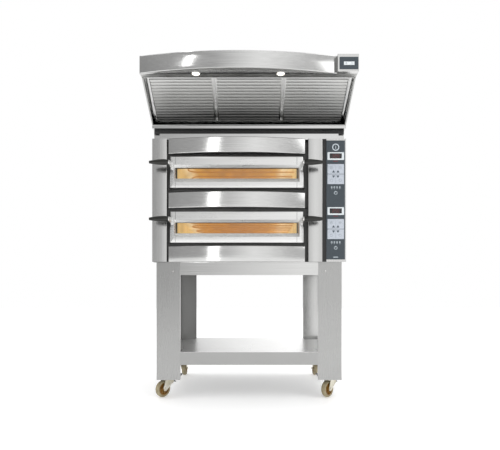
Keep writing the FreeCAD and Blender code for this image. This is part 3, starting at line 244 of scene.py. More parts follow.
def arc_depth(x, x0, x1, bulge, chord):
    """Depth of the circle through both ends of a chord and a point a bulge in front of it."""
    half = (x1 - x0) / 2
    radius = (half ** 2 + bulge ** 2) / (2 * bulge)
    return chord + radius - bulge - np.sqrt(radius ** 2 - (x - (x0 + x1) / 2) ** 2)


def bowed_front(x0, x1, bulge, chord, back, z0, z1, steps=64, bend=4 * MM):
    """Bowed sheet with top and bottom lips: the lips' outline of (share, height) is carried
    across the width, with share 0 on the bow's arc and share 1 on the flat back line."""
    depth = back - chord
    lip = folded([(depth, z1), (0, z1), (0, z0), (depth, z0)], SHEET, bend)
    x = np.linspace(x0, x1, steps + 1)[:, None]
    face = arc_depth(x, x0, x1, bulge, chord)
    near = np.clip(1 - lip[None, :, 0] / depth, 0, 1)
    y = lip[None, :, 0] + chord + (face - chord) * near ** 0.35
    grid = np.stack([np.broadcast_to(x, y.shape), y, np.broadcast_to(lip[None, :, 1], y.shape)], -1)
    ends = [plate(x0 + 0.1 * MM, x0 + SHEET, chord + 3 * MM, back, z0 + SHEET, z1 - SHEET),
            plate(x1 - SHEET, x1 - 0.1 * MM, chord + 3 * MM, back, z0 + SHEET, z1 - SHEET)]
    return joined(skin(grid), *ends)


def ring_face(x, z, y, outer, inner, steps=28):
    """Flat ring standing upright, facing forward; its two radii are in millimetres."""
    angle = np.linspace(0, 2 * math.pi, steps, endpoint=False)
    circle = np.column_stack([np.cos(angle), np.sin(angle)]) * MM
    grid = [np.column_stack([x + circle[:, 0] * r, np.full(steps, y + dy), z + circle[:, 1] * r])
            for r, dy in ((outer, PRINT), (outer, 0), (inner, 0), (inner, PRINT))]
    return skin(np.array(grid), path=True)


# ---------------------------------------------------------------- materials
def linear(code):
    """Linear colour of an sRGB hex value."""
    part = np.array([int(code[k:k + 2], 16) for k in (1, 3, 5)]) / 255
    value = np.where(part <= 0.04045, part / 12.92, ((part + 0.055) / 1.055) ** 2.4)
    return (*value.tolist(), 1.0)


def add_node(tree, kind, links=(), **settings):
    """Adds a shader node, sets its properties and sockets, and links (socket, source) pairs."""
    node = tree.nodes.new(kind)
    for name, value in settings.items():
        if hasattr(node, name):
            setattr(node, name, value)
        else:
            node.inputs[name.replace("_", " ")].default_value = value
    for socket, source in links:
        tree.links.new(source, node.inputs[socket])
    return node


def finish_material(name, roughness, metallic=0.0, colour="#808080", **more):
    """Principled material with its constants on the shader; returns it, its tree and the shader."""
    material = bpy.data.materials.new(name)
    material.use_nodes = True
    tree = material.node_tree
    shader = tree.nodes["Principled BSDF"]
    shader.inputs["Base Color"].default_value = linear(colour)
    shader.inputs["Roughness"].default_value = roughness
    shader.inputs["Metallic"].default_value = metallic
    for socket, value in more.items():
        shader.inputs[socket.replace("_", " ")].default_value = value
    return material, tree, shader


def pattern(tree, scale, detail=2.0, stretch=(1, 1, 1)):
    """Noise in metres of the object's own frame, stretched by an axis scale."""
    place = add_node(tree, "ShaderNodeTexCoord")
    fit = add_node(tree, "ShaderNodeMapping", [("Vector", place.outputs["Object"])])
    fit.inputs["Scale"].default_value = stretch
    return add_node(tree, "ShaderNodeTexNoise", [("Vector", fit.outputs["Vector"])],
                    Scale=scale, Detail=detail)


def graded(tree, source, stops):
    """Colour ramp from (position, hex) stops."""
    ramp = add_node(tree, "ShaderNodeValToRGB", [("Fac", source)])
    ramp.color_ramp.elements[0].position = stops[0][0]
    ramp.color_ramp.elements[0].color = linear(stops[0][1])
    ramp.color_ramp.elements[1].position = stops[-1][0]
    ramp.color_ramp.elements[1].color = linear(stops[-1][1])
    for position, code in stops[1:-1]:
        ramp.color_ramp.elements.new(position).color = linear(code)
    return ramp


def ranged(tree, source, low_value, high_value, start=0.3, end=0.7):
    """Maps a pattern's value to a range."""
    return add_node(tree, "ShaderNodeMapRange", [("Value", source)], From_Min=start, From_Max=end,
                    To_Min=low_value, To_Max=high_value)


def brushed(name, along, dark, light, roughness, grain=0.0012, bump=0.012):
    """Brushed stainless steel: a satin metal whose fine parallel scratches run one way, which
    spreads each reflection across them; cloudy handling marks lie over the scratches."""
    material, tree, shader = finish_material(name, roughness, 1.0, light)
    # real scratches are about 0.1 mm apart; drawn 0.6 to 1.2 mm apart (grain) so that they show
    across = 1 / (grain * 4)
    stretch = [across, across, across]
    stretch["XYZ".index(along)] = across / 120
    scratches = pattern(tree, 1.0, 3.0, tuple(stretch))
    clouds = pattern(tree, 5.0, 3.0)
    tint = graded(tree, scratches.outputs["Fac"], [(0.3, dark), (0.7, light)])
    tree.links.new(tint.outputs["Color"], shader.inputs["Base Color"])
    spread = ranged(tree, clouds.outputs["Fac"], roughness - 0.02, roughness + 0.03)
    fine = ranged(tree, scratches.outputs["Fac"], -0.02, 0.02)
    rough = add_node(tree, "ShaderNodeMath", [(0, spread.outputs["Result"]), (1, fine.outputs["Result"])],
                     operation="ADD")
    tree.links.new(rough.outputs["Value"], shader.inputs["Roughness"])
    relief = add_node(tree, "ShaderNodeBump", [("Height", scratches.outputs["Fac"])],
                      Strength=bump, Distance=0.0002)
    tree.links.new(relief.outputs["Normal"], shader.inputs["Normal"])
    return material


def cloudy(name, colour, other, roughness, scale, metallic=0.0, bump=0.05, spread=0.08, **more):
    """Any finish with a soft cloudy variation of colour, roughness and relief."""
    material, tree, shader = finish_material(name, roughness, metallic, colour, **more)
    cloud = pattern(tree, scale, 4.0)
    tint = graded(tree, cloud.outputs["Fac"], [(0.35, colour), (0.65, other)])
    tree.links.new(tint.outputs["Color"], shader.inputs["Base Color"])
    rough = ranged(tree, cloud.outputs["Fac"], max(0.02, roughness - spread), roughness + spread)
    tree.links.new(rough.outputs["Result"], shader.inputs["Roughness"])
    relief = add_node(tree, "ShaderNodeBump", [("Height", cloud.outputs["Fac"])],
                      Strength=bump, Distance=0.0005)
    tree.links.new(relief.outputs["Normal"], shader.inputs["Normal"])
    return material


def glowing(name, colour, strength, roughness=0.4):
    """Surface that gives off an even light."""
    return finish_material(name, roughness, 0.0, colour, Emission_Color=linear(colour),
                           Emission_Strength=strength)[0]


# AISI 304 sheet, scotch-brite brushed: grey satin metal, long streaked reflections
STEEL_ACROSS = brushed("brushed_stainless_across", "X", "#c6c6c5", "#cececd", 0.15)
STEEL_UP = brushed("brushed_stainless_upright", "Z", "#c6c6c5", "#cbcbca", 0.2, 0.0008)
STEEL_DEEP = brushed("brushed_stainless_lengthwise", "Y", "#c4c4c3", "#cccccb", 0.24)
# the same sheet with a finer grain, painted darker as painted shade: darkest on the rear left leg, then the
# front legs
STEEL_PAINTED_SHADE_REAR = brushed("brushed_stainless_painted_shade_rear", "Z", "#8b8b8a", "#8f8f8e", 0.34, 0.0006)
STEEL_PAINTED_SHADE_LEG = brushed("brushed_stainless_leg_painted_shade", "Z", "#a9a9a8", "#acacab", 0.28, 0.0006)
# the doors' sheet, painted lighter than the rest as painted light, so that the bevel round the window reads
# pale
STEEL_DOOR_PAINTED_LIGHT = brushed("brushed_stainless_door_painted_light", "X", "#dededd", "#e6e6e5", 0.28)
# 2B mill sheet inside the hood: duller and a little cloudy; on the hems its darker tone is painted shade
STEEL_MILL = cloudy("mill_finish_stainless", "#a9a9a7", "#b6b6b4", 0.34, 9.0, 1.0)
# the same sheet in the shade behind the fronts
STEEL_SHADE = cloudy("shaded_mill_stainless", "#4c4c4c", "#5a5a59", 0.45, 9.0, 1.0)
# fired cordierite slab: pale biscuit stone with scorch marks
CORDIERITE = cloudy("cordierite_slab", "#d8bf8c", "#b8935a", 0.85, 14.0, 0.0, 0.4)
# incoloy tube heater, oxidised, with the lamp's light on it painted as a dull amber glow
ELEMENT_PAINTED_GLOW = glowing("incoloy_element_painted_glow", "#b5852f", 0.42, 0.6)
# phenolic resin grips, moulded and polished: near-black with an olive cast
BAKELITE = cloudy("bakelite", "#11110e", "#1a1a15", 0.34, 40.0, 0.0, 0.03, 0.06)
# ABS lever and gland, fine spark-eroded skin
ABS_BLACK = cloudy("abs_black", "#161616", "#202020", 0.5, 160.0, 0.0, 0.2)
# zinc plate with a clear, faintly yellow passivation on pressed steel
ZINC = cloudy("clear_passivated_zinc", "#dedbd0", "#cfc8b2", 0.3, 26.0, 1.0)
# polyamide wheel, amber brown, moulded
WHEEL_BROWN = cloudy("amber_polyamide", "#8a6420", "#6e4d17", 0.36, 45.0, 0.0, 0.08, 0.06,
                     Subsurface_Weight=0.1)
# polyurethane tyre, tan grey
TYRE = cloudy("tan_polyurethane", "#a2977a", "#8a7f63", 0.55, 60.0, 0.0, 0.15)
# powder-coated control panel, slate blue-grey, fine orange-peel
SLATE = cloudy("slate_powder_coat", "#333c43", "#3b454c", 0.42, 300.0, 0.0, 0.12)
# polyester membrane with printed keys
MEMBRANE = cloudy("grey_polyester_membrane", "#bcc2cb", "#b0b7c1", 0.38, 120.0, 0.0, 0.05)
MEMBRANE_LIGHT = cloudy("light_polyester_membrane", "#d9dfe2", "#d0d7db", 0.38, 120.0, 0.0, 0.05)
# screen-printed inks: flat, a little matt
PRINT_DARK = cloudy("slate_ink", "#37424b", "#414c55", 0.5, 200.0)
PRINT_WHITE = cloudy("white_ink", "#c9d2d8", "#bcc6cd", 0.5, 200.0)
# smoked acrylic over a display
SMOKED = cloudy("smoked_acrylic", "#140f12", "#1b1418", 0.12, 80.0, 0.0, 0.0, 0.03, Coat_Weight=0.5)
# light-emitting segments, dull red behind the acrylic
DIGITS = glowing("red_display_segments", "#6a1a20", 0.12)
# painted steel fan parts, galvanised spangle
GALVANISED = cloudy("galvanised_sheet", "#9aa0a3", "#8b9194", 0.42, 30.0, 1.0)
# woven glass-fibre rope round the mouth
ROPE = cloudy("glass_fibre_rope", "#5d574b", "#474238", 0.9, 500.0, 0.0, 0.6)
# opal glass of the hood lights and the lamp in each chamber
OPAL = glowing("opal_lamp_glass", "#fff6e6", 2.2)
LAMP = glowing("hot_lamp_glass", "#ffdfb4", 7.0)
# moulded polycarbonate switch, smooth and white
ROCKER = cloudy("white_polycarbonate", "#dfe4e6", "#d3d9dc", 0.3, 90.0, 0.0, 0.02, 0.05)
# black porous strip between plinth and gutter: painted shade in the dark recess under the gutter
PAINTED_SHADE_STRIP = cloudy("painted_shade_black_strip", "#2c2c2c", "#383838", 0.95, 700.0, 0.0, 0.5)
# rubber gasket and dark joint lines
SEAM = cloudy("seam_shadow_gasket", "#2a2a2a", "#333333", 0.8, 90.0)
# turned and polished stainless hardware, bright
BOLT = cloudy("polished_stainless_bolt", "#c4c4c2", "#b4b4b2", 0.2, 90.0, 1.0)


def steel_by_height(name, stops, bottom, top):
    """Brushed stainless steel whose tint is a ramp over the height between two levels."""
    material = brushed(name, "X", "#a9a9a7", "#b6b6b4", 0.3)
    tree = material.node_tree
    place = add_node(tree, "ShaderNodeTexCoord")
    parts = add_node(tree, "ShaderNodeSeparateXYZ", [("Vector", place.outputs["Object"])])
    height = ranged(tree, parts.outputs["Z"], 0.0, 1.0, bottom, top)
    film = graded(tree, height.outputs["Result"], stops)
    tree.links.new(film.outputs["Color"], tree.nodes["Principled BSDF"].inputs["Base Color"])
    return material


# borosilicate pane: a clear dielectric, faintly straw-tinted by its heat coating
GLASS = finish_material("borosilicate_pane", 0.02, 0.0, "#fbf1de", Transmission_Weight=1.0, IOR=1.47)[0]
# filters painted darker towards their lower edge, as painted shade and reflection: light top edge, grey
# lower edge
STEEL_FILTER_PAINTED_SHADE = steel_by_height("brushed_stainless_painted_shade_downwards",
                               [(0.0, "#5c5c5b"), (0.5, "#a4a4a2"), (1.0, "#d6d6d4")],
                               low("filter_middle")[2], high("filter_middle")[2])
# shelf tray, its top face and fold painted bright as a painted highlight, satin on its folded front
STEEL_SHELF_PAINTED_LIGHT = steel_by_height("brushed_stainless_painted_light_top",
                              [(0.0, "#a8a8a7"), (0.5, "#b0b0af"), (1.0, "#fbfbfa")],
                              high("lower_shelf")[2] - 3 * MM, high("lower_shelf")[2])


def glowing_lining(left, right):
    """Chamber lining with painted lamp light: straw metal that glows, the glow a ramp across the chamber,
    amber in the middle and cream near both ends, made uneven by upright streaks of noise."""
    material, tree, shader = finish_material("lining_painted_lamp_glow", 0.5, 0.3, "#9c7f48")
    place = add_node(tree, "ShaderNodeTexCoord")
    parts = add_node(tree, "ShaderNodeSeparateXYZ", [("Vector", place.outputs["Object"])])
    across = ranged(tree, parts.outputs["X"], 0.0, 1.0, left, right)
    end = [(0.0, "#eedca8"), (0.06, "#fffbe8"), (0.14, "#d8ab4c"), (0.24, "#cb9b3c")]
    glow = graded(tree, across.outputs["Result"],
                  [*end, (0.5, "#bd8a34"), (0.76, "#cb9b3c"), (0.84, "#d8ab4c"), (0.9, "#fffbe8"),
                   (1.0, "#eedca8")])
    streaks = pattern(tree, 9.0, 3.0, (2.4, 0.6, 0.3))
    uneven = ranged(tree, streaks.outputs["Fac"], 0.42, 0.8)
    tree.links.new(glow.outputs["Color"], shader.inputs["Emission Color"])
    tree.links.new(uneven.outputs["Result"], shader.inputs["Emission Strength"])
    return material


# the chamber lining's glow is painted lamp light
LINING_PAINTED_GLOW = glowing_lining(low("stone_upper")[0], high("stone_upper")[0])


# ---------------------------------------------------------------- pieces
def piece(name, shape, material, body, stands_for=()):
    """Mesh object from a shape, smooth-shaded where faces meet gently, riding on a body."""
    points, faces = shape
    mesh = bpy.data.meshes.new(name)
    mesh.from_pydata(points.tolist(), [], faces)
    mesh.validate()
    work = bmesh.new()
    work.from_mesh(mesh)
    bmesh.ops.remove_doubles(work, verts=work.verts, dist=0.004 * MM)
    bmesh.ops.recalc_face_normals(work, faces=work.faces)
    work.to_mesh(mesh)
    work.free()
    mesh.shade_smooth()
    mesh.set_sharp_from_angle(angle=math.radians(32))
    mesh.materials.append(material)
    thing = bpy.data.objects.new(name, mesh)
    bpy.context.scene.collection.objects.link(thing)
    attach(thing, body)
    if stands_for:
        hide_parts(*stands_for)
    return thing


def dress(material, *nodes):
    """Gives CAD nodes a material."""
    for node in nodes:
        mesh = NODES[node].data
        if mesh.materials:
            for index in range(len(mesh.materials)):
                mesh.materials[index] = material
        else:
            mesh.materials.append(material)


def screws(places, radius, facing, body, name):
    """Low domed screw heads, each a dome profile turned about its own axis, with a drive recess."""
    profile = [(0, radius), (0.25 * radius, radius * 0.96), (0.5 * radius, radius * 0.72),
               (0.58 * radius, radius * 0.42), (0.38 * radius, radius * 0.38), (0.38 * radius, 0)]
    heads = [turned(profile, place, facing, 20) for place in places]
    return piece(name, joined(*heads), BOLT, body)


# ---------------------------------------------------------------- stand and castors
def stand():
    """Legs, beams, rails and shelf keep their CAD shape; bolt heads become domed."""
    # darker copies of the steel on the legs: painted shade, darkest on the rear left leg
    dress(STEEL_PAINTED_SHADE_LEG, "leg_front_left", "leg_front_right")
    dress(STEEL_UP, "leg_rear_right")
    dress(STEEL_PAINTED_SHADE_REAR, "leg_rear_left")
    dress(STEEL_ACROSS, "stand_beams")
    dress(STEEL_DEEP, "stand_rails")
    # the shelf's top is painted bright: painted highlight
    dress(STEEL_SHELF_PAINTED_LIGHT, "lower_shelf")
    dress(BOLT, "stand_bolts", "castor_plates")
    lo, hi = low("stand_bolts"), high("stand_bolts")
    radius = 6.5 * MM           # half across the flats of the bolt's head
    sunk = 3.5 * MM             # from the head's front to the face that the dome stands on
    places = [(x, lo[1] + sunk, lo[2] + radius) for x in (lo[0] + radius, hi[0] - radius)]
    screws(places, radius * 1.05, (0, -1, 0), "oven", "leg_bolt_domes")


def castor(place, angle):
    """One castor: tyre, ribbed hub, fork, axle caps and, in front, the brake pedal. Its sizes are
    millimetres from the swivel's foot, X along the trail, Y along the axle, then turned."""
    centre = np.array(JOINTS["wheel_spin_" + place]["pos_m"])
    swivel = np.array(JOINTS["castor_swivel_" + place]["pos_m"])
    spot = (swivel[0], swivel[1], 0)
    radius = centre[2] / MM
    trail = math.hypot(*(centre - swivel)[:2]) / MM
    half = 16                   # half the tyre's width
    inner = radius - 13         # where the tyre meets the hub
    arc = np.linspace(-1, 1, 13)
    tread = np.column_stack([arc * half, radius - 6 * np.abs(arc) ** 3])
    tyre = np.concatenate([[(3 - half, inner)], tread, [(half - 3, inner)]])
    flank = [(18, 5.2), (18, 13), (16, 15), (7, 17), (6, inner - 5), (12.5, inner - 3),
             (13, inner + 0.2)]
    hub = [(-width, reach) for width, reach in flank] + flank[::-1]
    turns = np.linspace(0, 2 * math.pi, 56, endpoint=False)

    def around(profile):
        """Each (width, radius) pair swept round the axle."""
        grid = np.stack([np.stack([r * np.cos(turns), np.full_like(turns, w), r * np.sin(turns)], -1)
                         for w, r in profile])
        return skin(grid, path=True)

    def placed(shape, offset=(0, 0, 0)):
        """Shape shifted, in metres, turned to the castor's angle at its spot."""
        return moved(to_metres(moved(shape, offset)), spot, angle)

    ribs = []
    for start in (-12, 5.8):
        rib = prism(rectangle(15, inner - 3.5, -1.6, 1.6, 0.6), start, start + 6.2, "Y", 0.3)
        ribs += [moved(rib, (0, 0, 0), 45 * k, "Y") for k in range(8)]
    wheel_body = "wheel_" + place
    axle = (trail, 0, radius)
    piece("castor_tyre_" + place, placed(around(tyre), axle), TYRE, wheel_body)
    piece("castor_hub_" + place, placed(joined(around(hub), *ribs), axle), WHEEL_BROWN, wheel_body,
          ("castor_wheel_" + place,))
    fork_node = "castor_fork_" + place
    crown = high(fork_node)[2] / MM
    arm, outside = 3, 22        # a fork arm's thickness, and its outer face from the middle
    head = prism(filleted([(-29, -22), (29, -22), (29, 22), (-29, 22)], 9, 6), crown - 5, crown, "Z", 1)
    outline = filleted([(-29, crown), (29, crown), (trail + 12, radius + 8), (trail + 9, radius - 12),
                        (trail - 9, radius - 12), (-31, crown - 33)], 6, 5)
    arms = [prism(outline, start, start + arm, "Y", 0.8) for start in (-outside, outside - arm)]
    cap = [(0, 9), (2.5, 9), (4.5, 7.5), (5, 5), (5, 0)]
    caps = [turned(cap, (trail, side * outside, radius), (0, side, 0), 6) for side in (-1, 1)]
    shaft = turned([(0, 0), (0, 5), (2 * outside, 5), (2 * outside, 0)], (trail, -outside, radius),
                   (0, 1, 0), 20)
    piece("castor_fork_shell_" + place, placed(joined(head, *arms, *caps, shaft)), ZINC,
          "swivel_" + place, (fork_node,))
    if place.startswith("front"):
        pedal(place, angle, swivel)


def pedal(place, angle, swivel):
    """Brake pedal: a ribbed tread on an eye, sloping down and away from the wheel."""
    pivot = np.array(JOINTS["brake_press_" + place]["pos_m"])
    reach = math.hypot(*(pivot - swivel)[:2])
    slope = -28                 # degrees, as the pedal rests
    tread = prism(filleted([(-34, -17), (-2, -13), (-2, 13), (-34, 17)], 5, 5), -2.5, 2.5, "Z", 1)
    ribs = [prism(rectangle(x, x + 2, -13, 13, 0.8), 2.2, 3.8, "Z", 0.4) for x in (-31, -25, -19, -13)]
    eye = turned([(0, 0), (0, 6), (28, 6), (28, 0)], (0, -14, 0), (0, 1, 0), 28)
    shape = moved(to_metres(joined(tread, *ribs, eye)), (-reach, 0, pivot[2]), slope, "Y")
    piece("brake_lever_" + place, moved(shape, (swivel[0], swivel[1], 0), angle), ABS_BLACK,
          "brake_" + place, ("brake_pedal_" + place,))


# ---------------------------------------------------------------- oven body
def pillars():
    """Front pillars: a folded channel outline carried upwards."""
    for side in ("left", "right"):
        node = "pillar_" + side
        lo, hi = low(node), high(node)
        outline = folded([(lo[0], hi[1]), (lo[0], lo[1]), (hi[0], lo[1]), (hi[0], hi[1])])
        piece("front_" + node, prism(outline, lo[2], hi[2], "Z"), STEEL_UP, "oven", (node,))


def bands():
    """Three bowed bands across the front."""
    for place in ("bottom", "middle", "top"):
        node = "band_" + place
        lo, hi = low(node), high(node)
        bulge = FRONT - lo[1]
        shape = bowed_front(lo[0], hi[0], bulge, FRONT, hi[1], lo[2], hi[2])
        piece("front_" + node, shape, STEEL_ACROSS, "oven", (node,))


def shell():
    """Side, rear and top sheets keep their CAD shape; the back gets screws and louvres."""
    dress(STEEL_DEEP, "side_panel_left", "side_panel_right", "roof_panel", "hood_base", "oven_base")
    dress(STEEL_ACROSS, "back_panel")
    dress(STEEL_SHADE, "chamber_upper", "chamber_lower")
    dress(ROPE, "door_seals")
    dress(ABS_BLACK, "cable_gland")
    dress(GALVANISED, "fan_housing", "fan_impeller")
    rear_places = [(x, BACK_FACE - 0.3 * MM, z) for x in np.linspace(LEFT + 0.03, RIGHT - 0.03, 5)
                   for z in (BODY_LOW + 0.02, (BODY_LOW + BODY_TOP) / 2, BODY_TOP - 0.02)]
    screws(rear_places, 4.5 * MM, (0, 1, 0), "oven", "rear_screws")
    louvres = [louvre(column, BODY_LOW + 0.12 + row * 0.022, 0.16, BACK_FACE)
               for column in (-0.32, 0.30) for row in range(9)]
    piece("rear_louvres", joined(*louvres), STEEL_ACROSS, "oven")


def louvre(x, z, width, y):
    """Pressed louvre standing out of a rear sheet: a quarter-round hood whose height falls to
    nothing at its two ends, closed by a flat back."""
    depth, height, sunk = 5 * MM, 9 * MM, 0.3 * MM
    u = np.linspace(-1, 1, 17)[:, None]
    v = np.linspace(0, math.pi / 2, 6)[None, :]
    swell = 1 - np.abs(u) ** 6
    out = depth * swell * np.sin(v)
    up = height * np.cos(v) * np.ones_like(u)
    grid = np.stack([x + width / 2 * u * np.ones_like(v), y + out, z + up], -1)
    back = grid[:, [-1, 0]].copy()
    back[..., 1] = y - sunk
    return skin(np.concatenate([grid, back], 1))


def chambers():
    """Lining with a painted lamp glow inside each chamber, open to the front with its rear edges rounded;
    slab, elements and lamps keep their CAD shape."""
    beyond = 1.5 * MM           # the lining reaches past the slab on both sides and behind
    for deck in DECKS:
        stone_low, stone_high = low("stone_" + deck), high("stone_" + deck)
        rear = stone_high[1] + beyond
        outline = rectangle(stone_low[0] - beyond, stone_high[0] + beyond, stone_high[2] + 0.5 * MM,
                            high("elements_" + deck)[2] + 3.5 * MM, 6 * MM, 4)
        depth = np.array([BULKHEAD + 2.5 * MM, rear - 8 * MM, rear - 2 * MM, rear])
        inset = np.array([0, 0, 1.5, 6]) * MM
        middle = outline.mean(0)
        half = (outline.max(0) - outline.min(0)) / 2
        ring = middle + (outline - middle)[None] * (1 - inset[:, None, None] / half)
        grid = np.stack([ring[..., 0], np.broadcast_to(depth[:, None], ring.shape[:2]), ring[..., 1]], -1)
        points, faces = skin(grid, caps=False)
        faces.append(list(range(3 * len(outline), 4 * len(outline))))
        lining = piece("chamber_lining_" + deck, (points, faces), LINING_PAINTED_GLOW, "oven")
        thick = lining.modifiers.new("sheet", "SOLIDIFY")
        thick.thickness = 0.3 * MM
        dress(CORDIERITE, "stone_" + deck)
        # the elements glow with painted lamp light
        dress(ELEMENT_PAINTED_GLOW, "elements_" + deck)
    dress(LAMP, "chamber_lamps")


def doors():
    """Each door: bevelled pan, seams, hinge arms, handle plates, bushes and grips."""
    for deck in DECKS:
        body = "door_" + deck
        inner_low, inner_high = low("door_inner_" + deck), high("door_inner_" + deck)
        x0, x1 = inner_low[0] - SHEET, inner_high[0] + SHEET
        z0, z1 = inner_low[2] - SHEET, inner_high[2] + SHEET
        back = inner_high[1]
        centre = (x0 + x1) / 2
        outer = (x0, x1, z0, z1)
        bevel = (x0 + 20 * MM, x1 - 20 * MM, z0 + 35 * MM, z0 + 136 * MM)
        window = (x0 + 28 * MM, x1 - 28 * MM, z0 + 57 * MM, z0 + 121 * MM)
        pan = nested([(outer, 0, back, 2), (outer, 0, FRONT + 2 * MM, 2), (outer, 0.6, FRONT + 0.6 * MM, 2),
                      (outer, 2, FRONT, 2), (bevel, 0, FRONT, 3), (bevel, 0.8, FRONT + 1.2 * MM, 3),
                      (window, -1, FRONT + 12 * MM, 3), (window, 0, FRONT + 14 * MM, 3),
                      (bevel, 0, FRONT + 14 * MM, 3), (outer, 2, FRONT + 2.2 * MM, 2), (outer, 2, back, 2)])
        pivot = np.array(JOINTS["door_hinge_" + deck]["pos_m"])
        grip_low, grip_high = low("door_grips_" + deck), high("door_grips_" + deck)
        grip_y = (grip_low[1] + grip_high[1]) / 2
        grip_z = (grip_low[2] + grip_high[2]) / 2
        arm = prism(rectangle(pivot[1] - 12 * MM, pivot[1] + 12 * MM, z0, z0 + 98 * MM, 8 * MM, 6),
                    x0 - 4 * MM, x0 - 0.05 * MM, "X", 0.6 * MM)
        plate_outline = filleted([(grip_y - 12 * MM, grip_z - 12 * MM), (FRONT, grip_z - 16 * MM),
                                  (FRONT, grip_z + 16 * MM), (grip_y - 12 * MM, grip_z + 12 * MM)],
                                 np.array([11.5, 1, 1, 11.5]) * MM, 6)
        handle = prism(plate_outline, x0 + 3 * MM, x0 + 9 * MM, "X", 0.8 * MM)
        foot = plate(x0 + 1.5 * MM, x0 + 14 * MM, FRONT - 2.5 * MM, FRONT, grip_z - 22 * MM,
                     grip_z + 22 * MM, 0.8 * MM)
        fittings = joined(arm, handle, foot)
        # the pan takes the lighter steel: painted light
        piece("door_pan_" + deck, joined(pan, fittings, flipped(fittings, centre)), STEEL_DOOR_PAINTED_LIGHT, body,
              ("door_frame_" + deck,))
        spans = ((bevel[3] + 0.6 * MM, z1 - 1.5 * MM), (z0 + 1.5 * MM, bevel[2] - 0.6 * MM))
        seams = [plate(x - 0.8 * MM, x + 0.8 * MM, FRONT - 0.15 * MM, FRONT + 0.6 * MM, *span, 0.1 * MM)
                 for x in (window[0] + 0.5 * MM, window[1] - 8 * MM) for span in spans]
        piece("door_seams_" + deck, joined(*seams), SEAM, body)
        bush = np.array([(0, 0), (0, 8.5), (1.2, 9.5), (3.6, 9.5), (3.9, 8.5), (3.9, 0)]) * MM
        roller = np.array([(0, 0), (0, 6), (1, 7), (3, 7), (4, 6), (4, 0)]) * MM
        left = joined(turned(roller, (x0 - 4 * MM, pivot[1] - 4 * MM, z0 + 90 * MM), (-1, 0, 0), 28),
                      turned(bush, (x0 - 0.2 * MM, pivot[1], pivot[2]), (-1, 0, 0), 32))
        piece("door_bushes_" + deck, joined(left, flipped(left, centre)), ABS_BLACK, body)
        grips(deck, body, centre, x0 + 3 * MM, grip_low[0], grip_y, grip_z)
        dress(STEEL_MILL, "door_inner_" + deck)
        dress(GLASS, "door_glass_" + deck)


def grips(deck, body, centre, start, tip, y, z):
    """Turned grips: radius rises from the neck to a belly a third along, then falls to the tip."""
    length = start - tip
    t = np.linspace(0, 1, 30)
    shares = np.interp(t, [0, 0.06, 0.16, 0.3, 0.5, 0.75, 0.93, 1.0],
                       [0.74, 0.86, 0.97, 1.0, 0.93, 0.73, 0.55, 0.42])
    belly = 17 * MM
    radii = np.convolve(np.pad(belly * shares, 2, "edge"), np.ones(5) / 5, "valid")
    profile = np.concatenate([[(0, 0)], np.column_stack([t * length, radii]),
                              [(length * 0.999, radii[-1] * 0.6), (length, 0)]])
    left = turned(profile, (start, y, z), (-1, 0, 0), 48)
    piece("grip_pair_" + deck, joined(left, flipped(left, centre)), BAKELITE, body,
          ("door_grips_" + deck,))
    ferrule = turned(np.array([(0, 0), (0, 13), (3, 13.4), (4.5, 12.6), (4.5, 0)]) * MM,
                     (start + 0.2 * MM, y, z), (-1, 0, 0), 40)
    screw = turned(np.array([(0, 8), (2, 7.6), (3.4, 5), (3.4, 0)]) * MM, (start + 6 * MM, y, z),
                   (1, 0, 0), 28)
    hardware = joined(ferrule, screw)
    piece("grip_ferrules_" + deck, joined(hardware, flipped(hardware, centre)), BOLT, body)


# ---------------------------------------------------------------- controls
SEGMENTS = {"a": (0, 1, 1, 0), "b": (1, 0.5, 0, 1), "c": (1, -0.5, 0, 1), "d": (0, -1, 1, 0),
            "e": (-1, -0.5, 0, 1), "f": (-1, 0.5, 0, 1), "g": (0, 0, 1, 0)}
DIGIT_SEGMENTS = {"0": "abcdef", "2": "abged", "3": "abgcd", "5": "afgcd", "8": "abcdefg"}


def digit(character, x, z, height, y):
    """Seven-segment digit: each lit segment is a thin bar along or up the digit."""
    half_h = height / 2
    half_w = height * 0.27
    stroke = 0.9 * MM           # half the width of a bar
    bars = []
    for name in DIGIT_SEGMENTS[character]:
        sx, sz, flat, upright = SEGMENTS[name]
        reach_x = half_w * 0.8 if flat else stroke
        reach_z = half_h * 0.4 if upright else stroke
        cx, cz = x + sx * half_w, z + sz * half_h
        bars.append(plate(cx - reach_x, cx + reach_x, y - 0.2 * MM, y, cz - reach_z, cz + reach_z,
                          0.05 * MM))
    return joined(*bars)


def strip(x0, x1, z0, z1, y, thickness=PRINT):
    """Printed or laid-on patch, standing a hair proud of a face."""
    return prism(rectangle(x0, x1, z0, z1, 0.4 * MM), y - thickness, y, "Y")


def arrow(x, z, way, y):
    """Printed triangle pointing up or down, way being 1 or -1."""
    size = 9 * MM
    outline = filleted([(x - size, z - way * size * 0.6), (x + size, z - way * size * 0.6),
                        (x, z + way * size)][::way], 0.3 * MM, 2)
    return prism(outline, y - PRINT, y, "Y")


